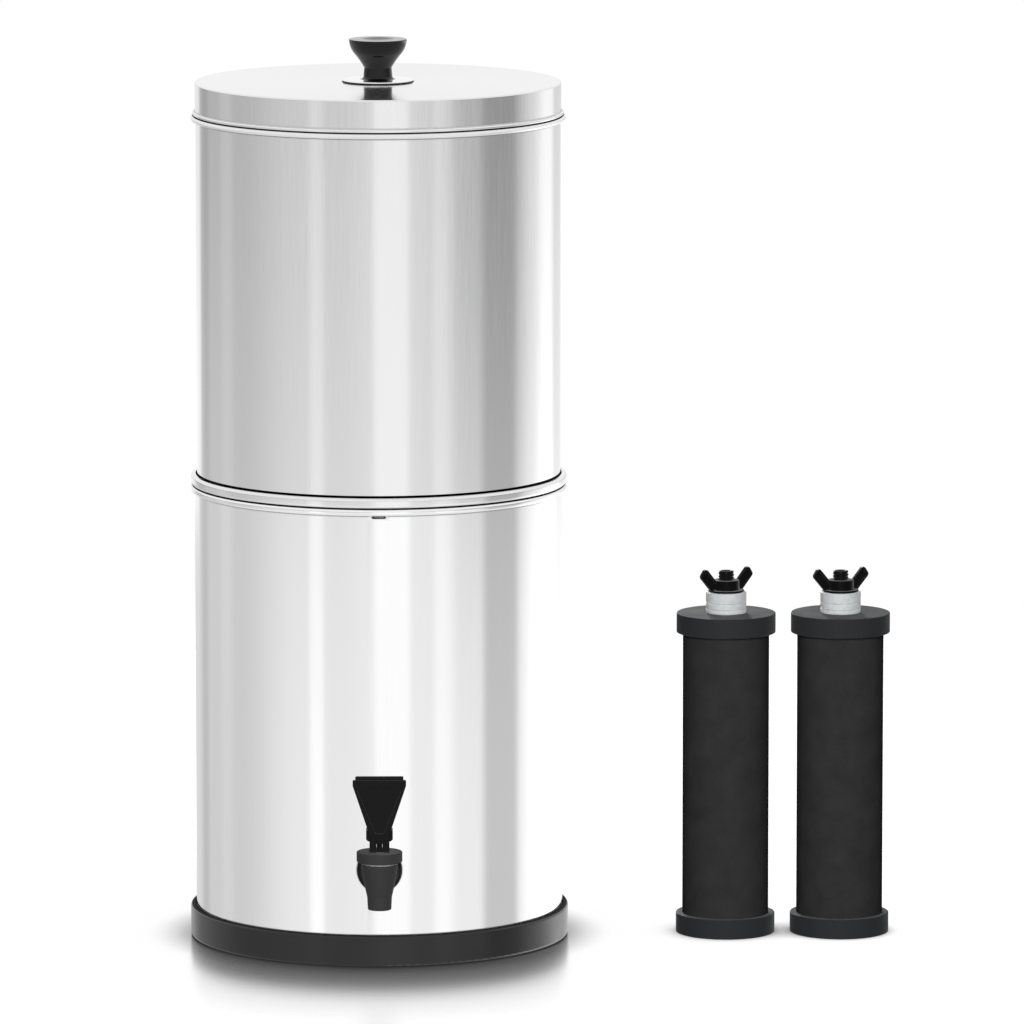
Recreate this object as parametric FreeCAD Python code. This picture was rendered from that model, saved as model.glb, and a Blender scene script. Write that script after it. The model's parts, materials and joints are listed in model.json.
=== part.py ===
import FreeCAD, Part
import math
import os

# Gravity water filter with tap, in millimetres.
# The origin is the vessel's axis at the floor, +Z is up and the tap faces -Y.

Vector = FreeCAD.Vector
UP = Vector(0, 0, 1)
FRONT_TO_BACK = Vector(0, 1, 0)
LEFT_TO_RIGHT = Vector(1, 0, 0)

# Clearances shared by all the pieces
seat_gap = 0.3
weld_gap = 0.05
slip_gap = 0.05
running_gap = 0.05

# Stainless sheet of the chambers and the lid
sheet = 0.8
curl_bend = 0.9
curl_edge_gap = 0.4

# Rubber base ring
ring_height = 20.3
ring_ledge_height = 5.0
ring_ledge_width = 13.15
ring_lip_thickness = 3.25
ring_lip_inner_round = 0.6
ring_vessel_gap = 0.5
ring_foot_round = 2.0
ring_top_round = 1.6

# Lower chamber
lower_radius = 120.65
lower_height = 294.7
lower_curl_reach = 2.6
lower_curl_height = 4.4
lower_floor_lift = 1.5
lower_floor_flange = 12.0
lower_floor_bend = 5.0
vent_width = 9.0
vent_height = 1.5
vent_below_curl = 0.3

# Upper chamber, nested in the lower one up to its bead
upper_height = 242.6
nest_clearance = 0.65
nest_depth = 22.0
bead_reach = 4.0
bead_height = 6.8
bead_round = 2.0
bead_inner_round = 0.5
upper_curl_reach = 3.4
upper_curl_height = 3.4
upper_floor_lift = 1.0
upper_floor_flange = 9.0
upper_floor_bend = 4.0

# Holes in the upper floor for the filter stems
stem_hole_radius = 5.6
stem_circle_radius = 60.0
open_stem_angles = (0.0, 180.0)
plug_angles = {"front": 270.0, "rear": 90.0}

# Silicone blocking plugs
plug_flange_radius = 13.0
plug_flange_height = 3.0
plug_bulb_radius = 7.6
plug_bulb_height = 8.0
plug_tip_radius = 4.0
plug_round = 1.0

# Lid
lid_height = 21.3
lid_overhang = 0.4
lid_corner_bend = 1.0
lid_bead_reach = 1.6
lid_bead_height = 2.4
lid_bead_round = 1.0
lid_bead_inner_round = 0.5
lid_skirt_depth = 13.0
lid_skirt_clearance = 0.7

# Knob, steel plate, gasket and screw on the lid
knob_foot_radius = 11.7
knob_foot_rise = 1.8
knob_stem_radius = 9.5
knob_neck_radius = 9.0
knob_neck_height = 7.6
knob_shoulder_radius = 14.6
knob_shoulder_height = 15.7
knob_rim_radius = 19.0
knob_height = 26.2
knob_rim_land = 7.8
knob_rim_edge = 0.5
knob_dish_depth = 1.2
knob_flare_hollow = 0.495
knob_neck_hollow = 0.212
knob_bowl_bulge = 0.95
plate_radius = 23.2
plate_thickness = 0.8
plate_edge = 0.32
gasket_inset = 0.5
gasket_thickness = 0.8
screw_radius = 2.5
screw_depth = 11.0
screw_head_radius = 4.6
screw_head_height = 3.2
screw_head_round = 1.4
screw_tip_round = 0.5
screw_washer_radius = 8.0
screw_washer_thickness = 1.0

# Tap: body, shank and fixing, with heights below and above the shank's axis
tap_reach = 23.95
tap_shank_z = 63.5
spout_end_drop = 21.3
spout_radius = 7.6
spout_neck_radius = 8.0
spout_neck_drop = 13.1
spout_neck_round = 6.0
body_waist_radius = 9.8
body_waist_drop = 5.2
body_waist_round = 12.0
body_top_radius = 11.9
body_shoulder_rise = 8.9
body_rim_height = 1.9
body_rim_round = 1.0
body_shoulder_edge = 0.3
body_neck_radius = 10.5
body_neck_height = 4.8
body_neck_edge = 0.4
valve_bore_radius = 8.2
seat_drop = 6.5
outlet_radius = 5.0
outlet_edge = 0.6
shank_radius = 8.0
shank_bore_radius = 5.5
shank_inside = 20.0
shank_hub_radius = 10.0
flange_radius = 12.5
flange_thickness = 3.0
washer_radius = 14.5
outer_washer_thickness = 2.55
inner_washer_thickness = 3.25
nut_across_flats = 24.0
nut_thickness = 8.0
nut_bevel = 1.0

# Tap: bonnet, its gasket, stem, seat cup and spring
bonnet_gasket_thickness = 1.2
bonnet_radius = 14.8
bonnet_height = 6.6
bonnet_top_thickness = 2.0
bonnet_edge = 0.7
bonnet_cavity_radius = 7.0
stem_radius = 3.0
stem_collar_radius = 5.8
stem_collar_height = 12.5
stem_collar_thickness = 1.0
stem_foot_height = 2.0
stem_edge = 0.4
tongue_thickness = 3.5
cup_radius = 7.2
cup_top_radius = 5.6
cup_height = 9.0
cup_edge = 0.8
spring_radius = 4.6
spring_wire_radius = 0.45
spring_half_turns = 7

# Tap lever: its foot is an involute cam, so that the stem's lift is in proportion to the tilt
lever_pin_height = 6.5
lever_pin_radius = 1.25
lift_per_radian = 4.58
lever_tilt_range = math.radians(40.0)
foot_gap = 0.05
fork_width = 12.9
fork_slot_gap = 0.15
fork_heel = 6.5
fork_pocket_gap = 1.2
paddle_front = 11.5
paddle_thickness = 4.0
paddle_foot_width = 10.2
paddle_width = 34.4
paddle_foot_rise = 2.1
paddle_height = 39.5
paddle_corner_drop = 3.4
paddle_edge = 0.8
paddle_lip_width = 31.0
paddle_lip_height = 2.4
paddle_lip_thickness = 2.6
paddle_recess_depth = 0.8
paddle_recess_border = 2.4
ear_width = 17.2
ear_height = 7.9
ear_rise = 1.3
ear_chamfer = 1.3
ear_depth = 11.5

# Filter cartridges, which stand beside the vessel
cartridge_places = {"left": 228.4, "right": 303.7}
cartridge_height = 213.0
cap_radius = 32.6
cap_height = 12.9
cap_floor = 3.0
cap_edge = 0.5
carbon_radius = 28.4
carbon_bore_radius = 9.0
glue_gap = 0.1
stud_radius = 5.25
stud_height = 27.9
stud_bore_radius = 3.0
stud_edge = 0.6
stud_flange_radius = 8.0
stud_flange_thickness = 1.6
sealing_washer_radius = 13.3
sealing_washer_heights = (2.7, 4.2, 7.0)
sealing_washer_edge = 0.7

# Wing nuts on the cartridge studs
nut_flange_radius = 11.8
nut_flange_height = 1.4
nut_flange_edge = 0.5
nut_hub_radius = 8.6
nut_hub_height = 7.8
nut_hub_edge = 0.6
wing_thickness = 3.4
wing_span = 39.8
wing_shoulder_height = 10.6
wing_shoulder_round = 2.4
wing_tip_span = 32.0
wing_tip_height = 16.9
wing_tip_round = 2.0
wing_foot_span = 23.0
wing_foot_height = 0.6
wing_crotch_inset = 0.5
wing_root_radius = 6.6
wing_root_round = 0.5
wing_edge = 0.6
wing_border = 1.5
wing_recess_depth = 0.4
wing_turns = {"left": 28.0, "right": 20.0}

# Heights and places that follow from the sizes above
ledge_z = ring_ledge_height
lower_rim_z = ledge_z + lower_height
bead_z = lower_rim_z + seat_gap
upper_bottom_z = bead_z - nest_depth
upper_rim_z = bead_z + upper_height
upper_floor_z = upper_bottom_z + upper_floor_lift
lid_seat_z = upper_rim_z + seat_gap
lid_top_z = lid_seat_z + lid_height
knob_base_z = lid_top_z + gasket_thickness + plate_thickness
lower_inner_radius = lower_radius - sheet
upper_radius = lower_inner_radius - nest_clearance
upper_inner_radius = upper_radius - sheet
lid_radius = upper_radius + lid_overhang
ring_recess_radius = lower_radius + ring_vessel_gap
ring_radius = ring_recess_radius + ring_lip_thickness
ring_hole_radius = ring_recess_radius - ring_ledge_width
tap_axis_y = -(lower_radius + tap_reach)
spout_end_z = tap_shank_z - spout_end_drop
spout_neck_z = tap_shank_z - spout_neck_drop
body_waist_z = tap_shank_z - body_waist_drop
seat_z = tap_shank_z - seat_drop
body_shoulder_z = tap_shank_z + body_shoulder_rise
stem_foot_z = seat_z + stem_foot_height
stem_collar_z = seat_z + stem_collar_height
bonnet_z = body_shoulder_z + bonnet_gasket_thickness
bonnet_top_z = bonnet_z + bonnet_height
pin_z = bonnet_top_z + lever_pin_height
ear_z = pin_z + ear_rise
paddle_foot_z = pin_z + paddle_foot_rise
paddle_shoulder_z = paddle_foot_z + paddle_height
washer_face_y = -(lower_radius + outer_washer_thickness)
nut_face_y = -lower_inner_radius + inner_washer_thickness
shank_end_y = -lower_radius + shank_inside
tap_place = Vector(0, tap_axis_y, 0)


def outline(corners, closed=True):
    """Edges through corners (r, z) or (r, z, round), drawn in the XZ plane, with each round as a tangent arc."""
    spots = [Vector(c[0], 0, c[1]) for c in corners]
    rounds = [c[2] if len(c) > 2 else 0.0 for c in corners]
    count = len(spots)
    entries = []
    exits = []
    middles = []
    for i in range(count):
        spot = spots[i]
        at_end = not closed and i in (0, count - 1)
        if rounds[i] <= 0 or at_end:
            entries.append(spot)
            exits.append(spot)
            middles.append(None)
            continue
        back = (spots[i - 1] - spot).normalize()
        ahead = (spots[(i + 1) % count] - spot).normalize()
        half_angle = back.getAngle(ahead) / 2
        along = rounds[i] / math.tan(half_angle)
        to_centre = rounds[i] / math.sin(half_angle)
        inward = (back + ahead).normalize()
        entries.append(spot + back * along)
        exits.append(spot + ahead * along)
        middles.append(spot + inward * (to_centre - rounds[i]))
    edges = []
    for i in range(count):
        if middles[i] is not None:
            edges.append(Part.Arc(entries[i], middles[i], exits[i]).toShape())
        last = i == count - 1
        if last and not closed:
            break
        start = exits[i]
        end = entries[(i + 1) % count]
        if start.distanceToPoint(end) > 1e-7:
            edges.append(Part.LineSegment(start, end).toShape())
    return edges


def moved_aside(corners, distance):
    """The corners of a line drawn at a distance to the left of another, with its rounds tighter or wider to suit."""
    spots = [Vector(c[0], 0, c[1]) for c in corners]
    rounds = [c[2] if len(c) > 2 else 0.0 for c in corners]
    moved = []
    for i, spot in enumerate(spots):
        before = spots[i] - spots[i - 1] if i > 0 else spots[1] - spots[0]
        after = spots[i + 1] - spot if i < len(spots) - 1 else before
        before = Vector(before).normalize()
        after = Vector(after).normalize()
        left_before = Vector(-before.z, 0, before.x)
        left_after = Vector(-after.z, 0, after.x)
        shift = (left_before + left_after) * (distance / (1 + left_before.dot(left_after)))
        turns_left = before.x * after.z - before.z * after.x > 0
        bend = 0.0
        if rounds[i] > 0:
            bend = max(rounds[i] - distance, 0.0) if turns_left else rounds[i] + distance
        moved.append((spot.x + shift.x, spot.z + shift.z, bend))
    return moved


def bowed_edge(start, end, bow):
    """An arc in the XZ plane whose middle lies to the left of its chord by bow, or to its right if bow is negative."""
    chord = end - start
    left = Vector(-chord.z, 0, chord.x).normalize()
    return Part.Arc(start, (start + end) * 0.5 + left * bow, end).toShape()


def spun(edges, place=Vector(0, 0, 0)):
    """A solid of revolution about the vertical line through a place, from edges in the XZ plane."""
    face = Part.Face(Part.Wire(edges))
    solid = face.revolve(Vector(0, 0, 0), UP, 360)
    solid.translate(place)
    return solid


def spun_sheet(corners, place=Vector(0, 0, 0)):
    """A spun or pressed shell of sheet metal: the corners give its outer side, and the sheet lies to their left."""
    other_side = moved_aside(corners, sheet)
    edges = outline(corners, closed=False)
    edges += outline(other_side, closed=False)
    for this_end, that_end in ((corners[0], other_side[0]), (corners[-1], other_side[-1])):
        start = Vector(this_end[0], 0, this_end[1])
        end = Vector(that_end[0], 0, that_end[1])
        edges.append(Part.LineSegment(start, end).toShape())
    return spun(Part.sortEdges(edges)[0], place)


def cylinder_along_y(radius, start_y, end_y, height):
    """A round bar along Y between two places, at a height."""
    return Part.makeCylinder(radius, end_y - start_y, Vector(0, start_y, height), FRONT_TO_BACK)


def cylinder_along_x(radius, half_length, place):
    """A round bar along X, centred on a place."""
    return Part.makeCylinder(radius, 2 * half_length, place - LEFT_TO_RIGHT * half_length, LEFT_TO_RIGHT)


def box_between(low, high):
    """A block from its lowest to its highest corner."""
    size = high - low
    return Part.makeBox(size.x, size.y, size.z, low)


def plate_xz(corners, front_y, back_y):
    """A flat plate with an outline in X and Z, between two places along Y."""
    face = Part.Face(Part.Wire(outline(corners)))
    plate = face.extrude(Vector(0, back_y - front_y, 0))
    plate.translate(Vector(0, front_y, 0))
    return plate


def on_circle(angle, radius, height=0.0):
    """A place at an angle in degrees on a level circle about the vessel's axis."""
    turn = math.radians(angle)
    return Vector(radius * math.cos(turn), radius * math.sin(turn), height)


# Base ring and lower chamber


def base_ring():
    """Rubber ring with a ledge that the lower chamber stands on and a lip round its foot."""
    return spun(outline([
        (ring_hole_radius, 0),
        (ring_radius, 0, ring_foot_round),
        (ring_radius, ring_height, ring_top_round),
        (ring_recess_radius, ring_height, ring_lip_inner_round),
        (ring_recess_radius, ledge_z),
        (ring_hole_radius, ledge_z, ring_lip_inner_round),
    ]))


def rim_curl(wall_radius, reach, height, rim_z):
    """The last corners of a wall's outer side, where the sheet rolls outwards and down into a curl."""
    under_top = rim_z - sheet
    above_bottom = rim_z - height + sheet
    return [
        (wall_radius, under_top, curl_bend),
        (wall_radius + reach - sheet, under_top, curl_bend),
        (wall_radius + reach - sheet, above_bottom, curl_bend),
        (wall_radius + curl_edge_gap, above_bottom),
    ]


def lower_chamber_wall():
    """Rolled wall with a curled rim, drilled for the tap's shank and slotted under the rim to let air out."""
    corners = [(lower_radius, ledge_z)]
    corners += rim_curl(lower_radius, lower_curl_reach, lower_curl_height, lower_rim_z)
    wall = spun_sheet(corners)
    tap_hole = cylinder_along_y(shank_radius + seat_gap, -lower_radius - sheet, 0, tap_shank_z)
    slot_top = lower_rim_z - lower_curl_height - vent_below_curl
    slot = plate_xz([
        (-vent_width / 2, slot_top - vent_height, vent_height / 2),
        (vent_width / 2, slot_top - vent_height, vent_height / 2),
        (vent_width / 2, slot_top, vent_height / 2),
        (-vent_width / 2, slot_top, vent_height / 2),
    ], -lower_radius - sheet, 0)
    return wall.cut(tap_hole).cut(slot)


def floor_pan(outer_radius, floor_z, flange, bend):
    """A pressed floor whose flange turns up against the wall, where it is seam welded."""
    return spun_sheet([
        (0, floor_z),
        (outer_radius, floor_z, bend),
        (outer_radius, floor_z + flange),
    ])


def lower_chamber_floor():
    """Floor of the lower chamber, a little above the ring's ledge."""
    return floor_pan(lower_inner_radius - weld_gap, ledge_z + lower_floor_lift, lower_floor_flange,
                     lower_floor_bend)


# Upper chamber


def upper_chamber_wall():
    """Wall with the bead that rests on the lower rim, a nesting skirt below it and a curled rim."""
    bead_radius = upper_radius + bead_reach
    corners = [
        (upper_radius, upper_bottom_z),
        (upper_radius, bead_z, bead_inner_round),
        (bead_radius, bead_z, bead_round),
        (bead_radius, bead_z + bead_height, bead_round),
        (upper_radius, bead_z + bead_height, bead_inner_round),
    ]
    corners += rim_curl(upper_radius, upper_curl_reach, upper_curl_height, upper_rim_z)
    return spun_sheet(corners)


def upper_chamber_floor():
    """Pressed floor with holes for four filter stems."""
    floor = floor_pan(upper_inner_radius - weld_gap, upper_floor_z, upper_floor_flange, upper_floor_bend)
    for angle in open_stem_angles + tuple(plug_angles.values()):
        place = on_circle(angle, stem_circle_radius, upper_floor_z - sheet)
        floor = floor.cut(Part.makeCylinder(stem_hole_radius, 3 * sheet, place, UP))
    return floor


def blocking_plug(angle):
    """Silicone plug for a stem hole that holds no filter: a flange above the floor and a bulb below it."""
    top_of_floor = upper_floor_z + sheet
    neck_radius = stem_hole_radius - slip_gap
    return spun(outline([
        (0, upper_floor_z - plug_bulb_height),
        (plug_tip_radius, upper_floor_z - plug_bulb_height, plug_round),
        (plug_bulb_radius, upper_floor_z),
        (neck_radius, upper_floor_z),
        (neck_radius, top_of_floor),
        (plug_flange_radius, top_of_floor),
        (plug_flange_radius, top_of_floor + plug_flange_height, plug_round),
        (0, top_of_floor + plug_flange_height),
    ]), on_circle(angle, stem_circle_radius))


# Lid and knob


def lid_shell():
    """Drawn lid: a locating skirt, a folded bead that rests on the rim, a straight side and a flat top."""
    skirt_radius = upper_inner_radius - lid_skirt_clearance
    bead_radius = lid_radius + lid_bead_reach
    return spun_sheet([
        (skirt_radius, lid_seat_z - lid_skirt_depth),
        (skirt_radius, lid_seat_z, lid_bead_inner_round),
        (bead_radius, lid_seat_z, lid_bead_round),
        (bead_radius, lid_seat_z + lid_bead_height, lid_bead_round),
        (lid_radius, lid_seat_z + lid_bead_height, lid_bead_inner_round),
        (lid_radius, lid_top_z, lid_corner_bend),
        (screw_radius + slip_gap, lid_top_z),
    ])


def knob():
    """Turned profile of the knob: a flared foot, a waisted stem, a bowl and a dished top."""
    foot_top = knob_base_z + knob_foot_rise
    neck_z = knob_base_z + knob_neck_height
    shoulder_z = knob_base_z + knob_shoulder_height
    top_z = knob_base_z + knob_height
    hole_radius = screw_radius + slip_gap
    foot = Vector(knob_foot_radius, 0, knob_base_z)
    stem = Vector(knob_stem_radius, 0, foot_top)
    neck = Vector(knob_neck_radius, 0, neck_z)
    shoulder = Vector(knob_shoulder_radius, 0, shoulder_z)
    rim = Vector(knob_rim_radius, 0, top_z - knob_rim_edge)
    land_outer = Vector(knob_rim_radius - knob_rim_edge, 0, top_z)
    land_inner = Vector(knob_rim_radius - knob_rim_land, 0, top_z)
    dish = Vector(0, 0, top_z - knob_dish_depth)
    edge_centre = Vector(knob_rim_radius - knob_rim_edge, 0, top_z - knob_rim_edge)
    edge_middle = edge_centre + Vector(1, 0, 1).normalize() * knob_rim_edge
    dish_radius = (land_inner.x ** 2 + knob_dish_depth ** 2) / (2 * knob_dish_depth)
    dish_rise = dish_radius - math.sqrt(dish_radius ** 2 - (land_inner.x / 2) ** 2)
    dish_middle = Vector(land_inner.x / 2, 0, dish.z + dish_rise)
    hole_top = knob_base_z + screw_depth
    edges = [
        Part.LineSegment(Vector(hole_radius, 0, knob_base_z), foot).toShape(),
        bowed_edge(foot, stem, knob_flare_hollow),
        Part.LineSegment(stem, neck).toShape(),
        bowed_edge(neck, shoulder, knob_neck_hollow),
        bowed_edge(shoulder, rim, -knob_bowl_bulge),
        Part.Arc(rim, edge_middle, land_outer).toShape(),
        Part.LineSegment(land_outer, land_inner).toShape(),
        Part.Arc(land_inner, dish_middle, dish).toShape(),
        Part.LineSegment(dish, Vector(0, 0, hole_top)).toShape(),
        Part.LineSegment(Vector(0, 0, hole_top), Vector(hole_radius, 0, hole_top)).toShape(),
        Part.LineSegment(Vector(hole_radius, 0, hole_top), Vector(hole_radius, 0, knob_base_z)).toShape(),
    ]
    return spun(edges)


def disc_with_hole(radius, hole_radius, bottom_z, thickness, edge_round=0.0):
    """A flat round washer, with its top outer edge rounded if asked."""
    return spun(outline([
        (hole_radius, bottom_z),
        (radius, bottom_z),
        (radius, bottom_z + thickness, edge_round),
        (hole_radius, bottom_z + thickness),
    ]))


def knob_plate():
    """Polished steel plate under the knob."""
    plate_z = lid_top_z + gasket_thickness
    return disc_with_hole(plate_radius, screw_radius + slip_gap, plate_z, plate_thickness, plate_edge)


def knob_gasket():
    """Black gasket that seals the knob's plate to the lid."""
    return disc_with_hole(plate_radius - gasket_inset, screw_radius + slip_gap, lid_top_z, gasket_thickness)


def knob_screw_washer():
    """Washer under the lid's top, below the knob."""
    under_lid = lid_top_z - sheet
    return disc_with_hole(screw_washer_radius, screw_radius + slip_gap, under_lid - screw_washer_thickness,
                          screw_washer_thickness)


def knob_screw():
    """Screw up through the lid into the knob, with a domed head below."""
    head_top = lid_top_z - sheet - screw_washer_thickness
    tip_z = knob_base_z + screw_depth - seat_gap
    return spun(outline([
        (0, head_top - screw_head_height),
        (screw_head_radius, head_top - screw_head_height, screw_head_round),
        (screw_head_radius, head_top),
        (screw_radius, head_top),
        (screw_radius, tip_z, screw_tip_round),
        (0, tip_z),
    ]))


# Tap


def tap_body():
    """Tap body: a tapered spout under the valve chamber, and a shank through the chamber's wall."""
    barrel = spun(outline([
        (0, spout_end_z),
        (spout_radius, spout_end_z, outlet_edge),
        (spout_neck_radius, spout_neck_z, spout_neck_round),
        (body_waist_radius, body_waist_z, body_waist_round),
        (body_top_radius, body_shoulder_z - body_rim_height, body_rim_round),
        (body_top_radius, body_shoulder_z, body_shoulder_edge),
        (body_neck_radius, body_shoulder_z),
        (body_neck_radius, body_shoulder_z + body_neck_height, body_neck_edge),
        (0, body_shoulder_z + body_neck_height),
    ]), tap_place)
    flange_y = washer_face_y - flange_thickness
    hub = cylinder_along_y(shank_hub_radius, tap_axis_y, flange_y, tap_shank_z)
    hub = hub.common(box_between(Vector(-ring_radius, tap_axis_y, spout_end_z),
                                 Vector(ring_radius, 0, body_shoulder_z)))
    flange = cylinder_along_y(flange_radius, flange_y, washer_face_y, tap_shank_z)
    shank = cylinder_along_y(shank_radius, washer_face_y, shank_end_y, tap_shank_z)
    valve_bore = Part.makeCylinder(valve_bore_radius, body_shoulder_z + body_neck_height - seat_z,
                                   Vector(0, tap_axis_y, seat_z), UP)
    outlet = Part.makeCylinder(outlet_radius, seat_z - spout_end_z, Vector(0, tap_axis_y, spout_end_z), UP)
    inlet = cylinder_along_y(shank_bore_radius, tap_axis_y, shank_end_y, tap_shank_z)
    body = barrel.fuse(hub).fuse(flange).fuse(shank)
    return body.cut(valve_bore).cut(outlet).cut(inlet).removeSplitter()


def shank_washer(start_y, end_y):
    """A soft washer round the shank, before it is trimmed to the curve of the wall."""
    ring = cylinder_along_y(washer_radius, start_y, end_y, tap_shank_z)
    return ring.cut(cylinder_along_y(shank_radius + slip_gap, start_y - sheet, end_y + sheet, tap_shank_z))


def tap_outer_washer():
    """Black washer between the tap's flange and the wall, pressed to the wall's curve."""
    wall_curve_depth = lower_radius - math.sqrt(lower_radius ** 2 - washer_radius ** 2)
    washer = shank_washer(washer_face_y, -lower_radius + wall_curve_depth + weld_gap)
    return washer.cut(Part.makeCylinder(lower_radius + weld_gap, lower_rim_z, Vector(0, 0, 0), UP))


def tap_inner_washer():
    """Washer between the wall's inside and the nut, with one face on the wall's curve."""
    washer = shank_washer(-lower_inner_radius, nut_face_y)
    return washer.common(Part.makeCylinder(lower_inner_radius - weld_gap, lower_rim_z, Vector(0, 0, 0), UP))


def tap_shank_nut():
    """Hexagonal plastic nut that clamps the tap from inside."""
    corner_radius = nut_across_flats / math.sqrt(3)
    corners = []
    for i in range(7):
        turn = math.radians(60 * i)
        corners.append(Vector(corner_radius * math.cos(turn), 0, corner_radius * math.sin(turn)))
    nut = Part.Face(Part.makePolygon(corners)).extrude(Vector(0, nut_thickness, 0))
    nut.translate(Vector(0, nut_face_y, tap_shank_z))
    bevelled = Part.makeCone(corner_radius + nut_thickness - nut_bevel, corner_radius - nut_bevel, nut_thickness,
                             Vector(0, nut_face_y, tap_shank_z), FRONT_TO_BACK)
    hole = cylinder_along_y(shank_radius + slip_gap, nut_face_y - sheet, nut_face_y + nut_thickness + sheet,
                            tap_shank_z)
    return nut.common(bevelled).cut(hole)


def tap_bonnet_gasket():
    """Translucent silicone gasket clamped between the bonnet and the body's shoulder."""
    gasket = disc_with_hole(body_top_radius, body_neck_radius + slip_gap, body_shoulder_z,
                            bonnet_gasket_thickness)
    gasket.translate(tap_place)
    return gasket


def tap_bonnet():
    """Screw-on cap of the tap, with the spring's cavity and the stem's guide hole."""
    thread_top = body_shoulder_z + body_neck_height + seat_gap
    cavity_top = bonnet_top_z - bonnet_top_thickness
    return spun(outline([
        (body_neck_radius + slip_gap, bonnet_z),
        (bonnet_radius, bonnet_z, bonnet_edge),
        (bonnet_radius, bonnet_top_z, bonnet_edge),
        (stem_radius + running_gap, bonnet_top_z),
        (stem_radius + running_gap, cavity_top),
        (bonnet_cavity_radius, cavity_top),
        (bonnet_cavity_radius, thread_top),
        (body_neck_radius + slip_gap, thread_top),
    ]), tap_place)


def tap_stem():
    """Valve stem: a collar for the spring, a round guide and a flat tongue with the pin's hole."""
    collar_top = stem_collar_z + stem_collar_thickness
    stem = spun(outline([
        (0, stem_foot_z),
        (stem_radius, stem_foot_z, stem_edge),
        (stem_radius, stem_collar_z),
        (stem_collar_radius, stem_collar_z),
        (stem_collar_radius, collar_top),
        (stem_radius, collar_top),
        (stem_radius, pin_z),
        (0, pin_z),
    ]), tap_place)
    pin_place = Vector(0, tap_axis_y, pin_z)
    stem = stem.fuse(cylinder_along_x(stem_radius, tongue_thickness / 2, pin_place))
    flats_z = pin_z - lever_pin_height - lift_per_radian * lever_tilt_range - 2 * foot_gap
    for side in (-1, 1):
        near = side * tongue_thickness / 2
        far = side * stem_collar_radius
        stem = stem.cut(box_between(
            Vector(min(near, far), tap_axis_y - stem_collar_radius, flats_z),
            Vector(max(near, far), tap_axis_y + stem_collar_radius, pin_z + stem_collar_radius)))
    return stem.cut(cylinder_along_x(lever_pin_radius + running_gap, tongue_thickness, pin_place))


def tap_seat_cup():
    """Silicone cup on the stem's foot, whose flat underside closes the seat."""
    socket_radius = stem_radius + slip_gap
    cup_top = seat_z + cup_height
    return spun(outline([
        (0, seat_z),
        (cup_radius, seat_z, cup_edge),
        (cup_radius, seat_z + cup_height / 3, cup_edge),
        (cup_top_radius, cup_top, cup_edge),
        (socket_radius, cup_top),
        (socket_radius, stem_foot_z - slip_gap),
        (0, stem_foot_z - slip_gap),
    ]), tap_place)


def tap_spring():
    """Coil spring between the stem's collar and the bonnet, wound in half turns."""
    low = stem_collar_z + stem_collar_thickness + spring_wire_radius
    high = bonnet_top_z - bonnet_top_thickness - spring_wire_radius
    half_pitch = (high - low) / spring_half_turns
    edges = []
    for i in range(spring_half_turns):
        side = 1 if i % 2 == 0 else -1
        start_z = low + i * half_pitch
        start = Vector(side * spring_radius, tap_axis_y, start_z)
        middle = Vector(0, tap_axis_y + side * spring_radius, start_z + half_pitch / 2)
        end = Vector(-side * spring_radius, tap_axis_y, start_z + half_pitch)
        edges.append(Part.Arc(start, middle, end).toShape())
    path = Part.Wire(edges)
    first = edges[0]
    heading = first.tangentAt(first.FirstParameter)
    section = Part.Wire(Part.makeCircle(spring_wire_radius, Vector(spring_radius, tap_axis_y, low), heading))
    print("spring: gap between turns", round(2 * half_pitch - 2 * spring_wire_radius, 2), "mm")
    return path.makePipeShell([section], True, False)


def cam_point(tilt):
    """Where the fork's foot meets the bonnet at a tilt, from the pin, in the upright lever's own frame (y, z).

    The contact stays one lift_per_radian in front of the pin, and as far below it as the pin's height
    plus the lift, so that the curve is an involute of a circle of that radius about the pin.
    """
    below = lever_pin_height - foot_gap + lift_per_radian * tilt
    y = -lift_per_radian * math.cos(tilt) - below * math.sin(tilt)
    z = lift_per_radian * math.sin(tilt) - below * math.cos(tilt)
    return Vector(0, y, z)


def fork_block():
    """Fork of the lever before it is slotted, with the cam at its front and a flat heel."""
    steps = 6
    pin = Vector(0, tap_axis_y, pin_z)
    cam = [cam_point(lever_tilt_range * i / steps) + pin for i in range(steps + 1)]
    curve = Part.BSplineCurve()
    curve.interpolate(cam)
    top_z = ear_z + ear_height - ear_chamfer
    toe = Vector(0, cam[-1].y, top_z)
    heel_top = Vector(0, tap_axis_y + fork_heel, top_z)
    heel = Vector(0, tap_axis_y + fork_heel, cam[0].z)
    edges = [
        curve.toShape(),
        Part.LineSegment(cam[-1], toe).toShape(),
        Part.LineSegment(toe, heel_top).toShape(),
        Part.LineSegment(heel_top, heel).toShape(),
        Part.LineSegment(heel, cam[0]).toShape(),
    ]
    block = Part.Face(Part.Wire(edges)).extrude(Vector(fork_width, 0, 0))
    block.translate(Vector(-fork_width / 2, 0, 0))
    return block


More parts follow.
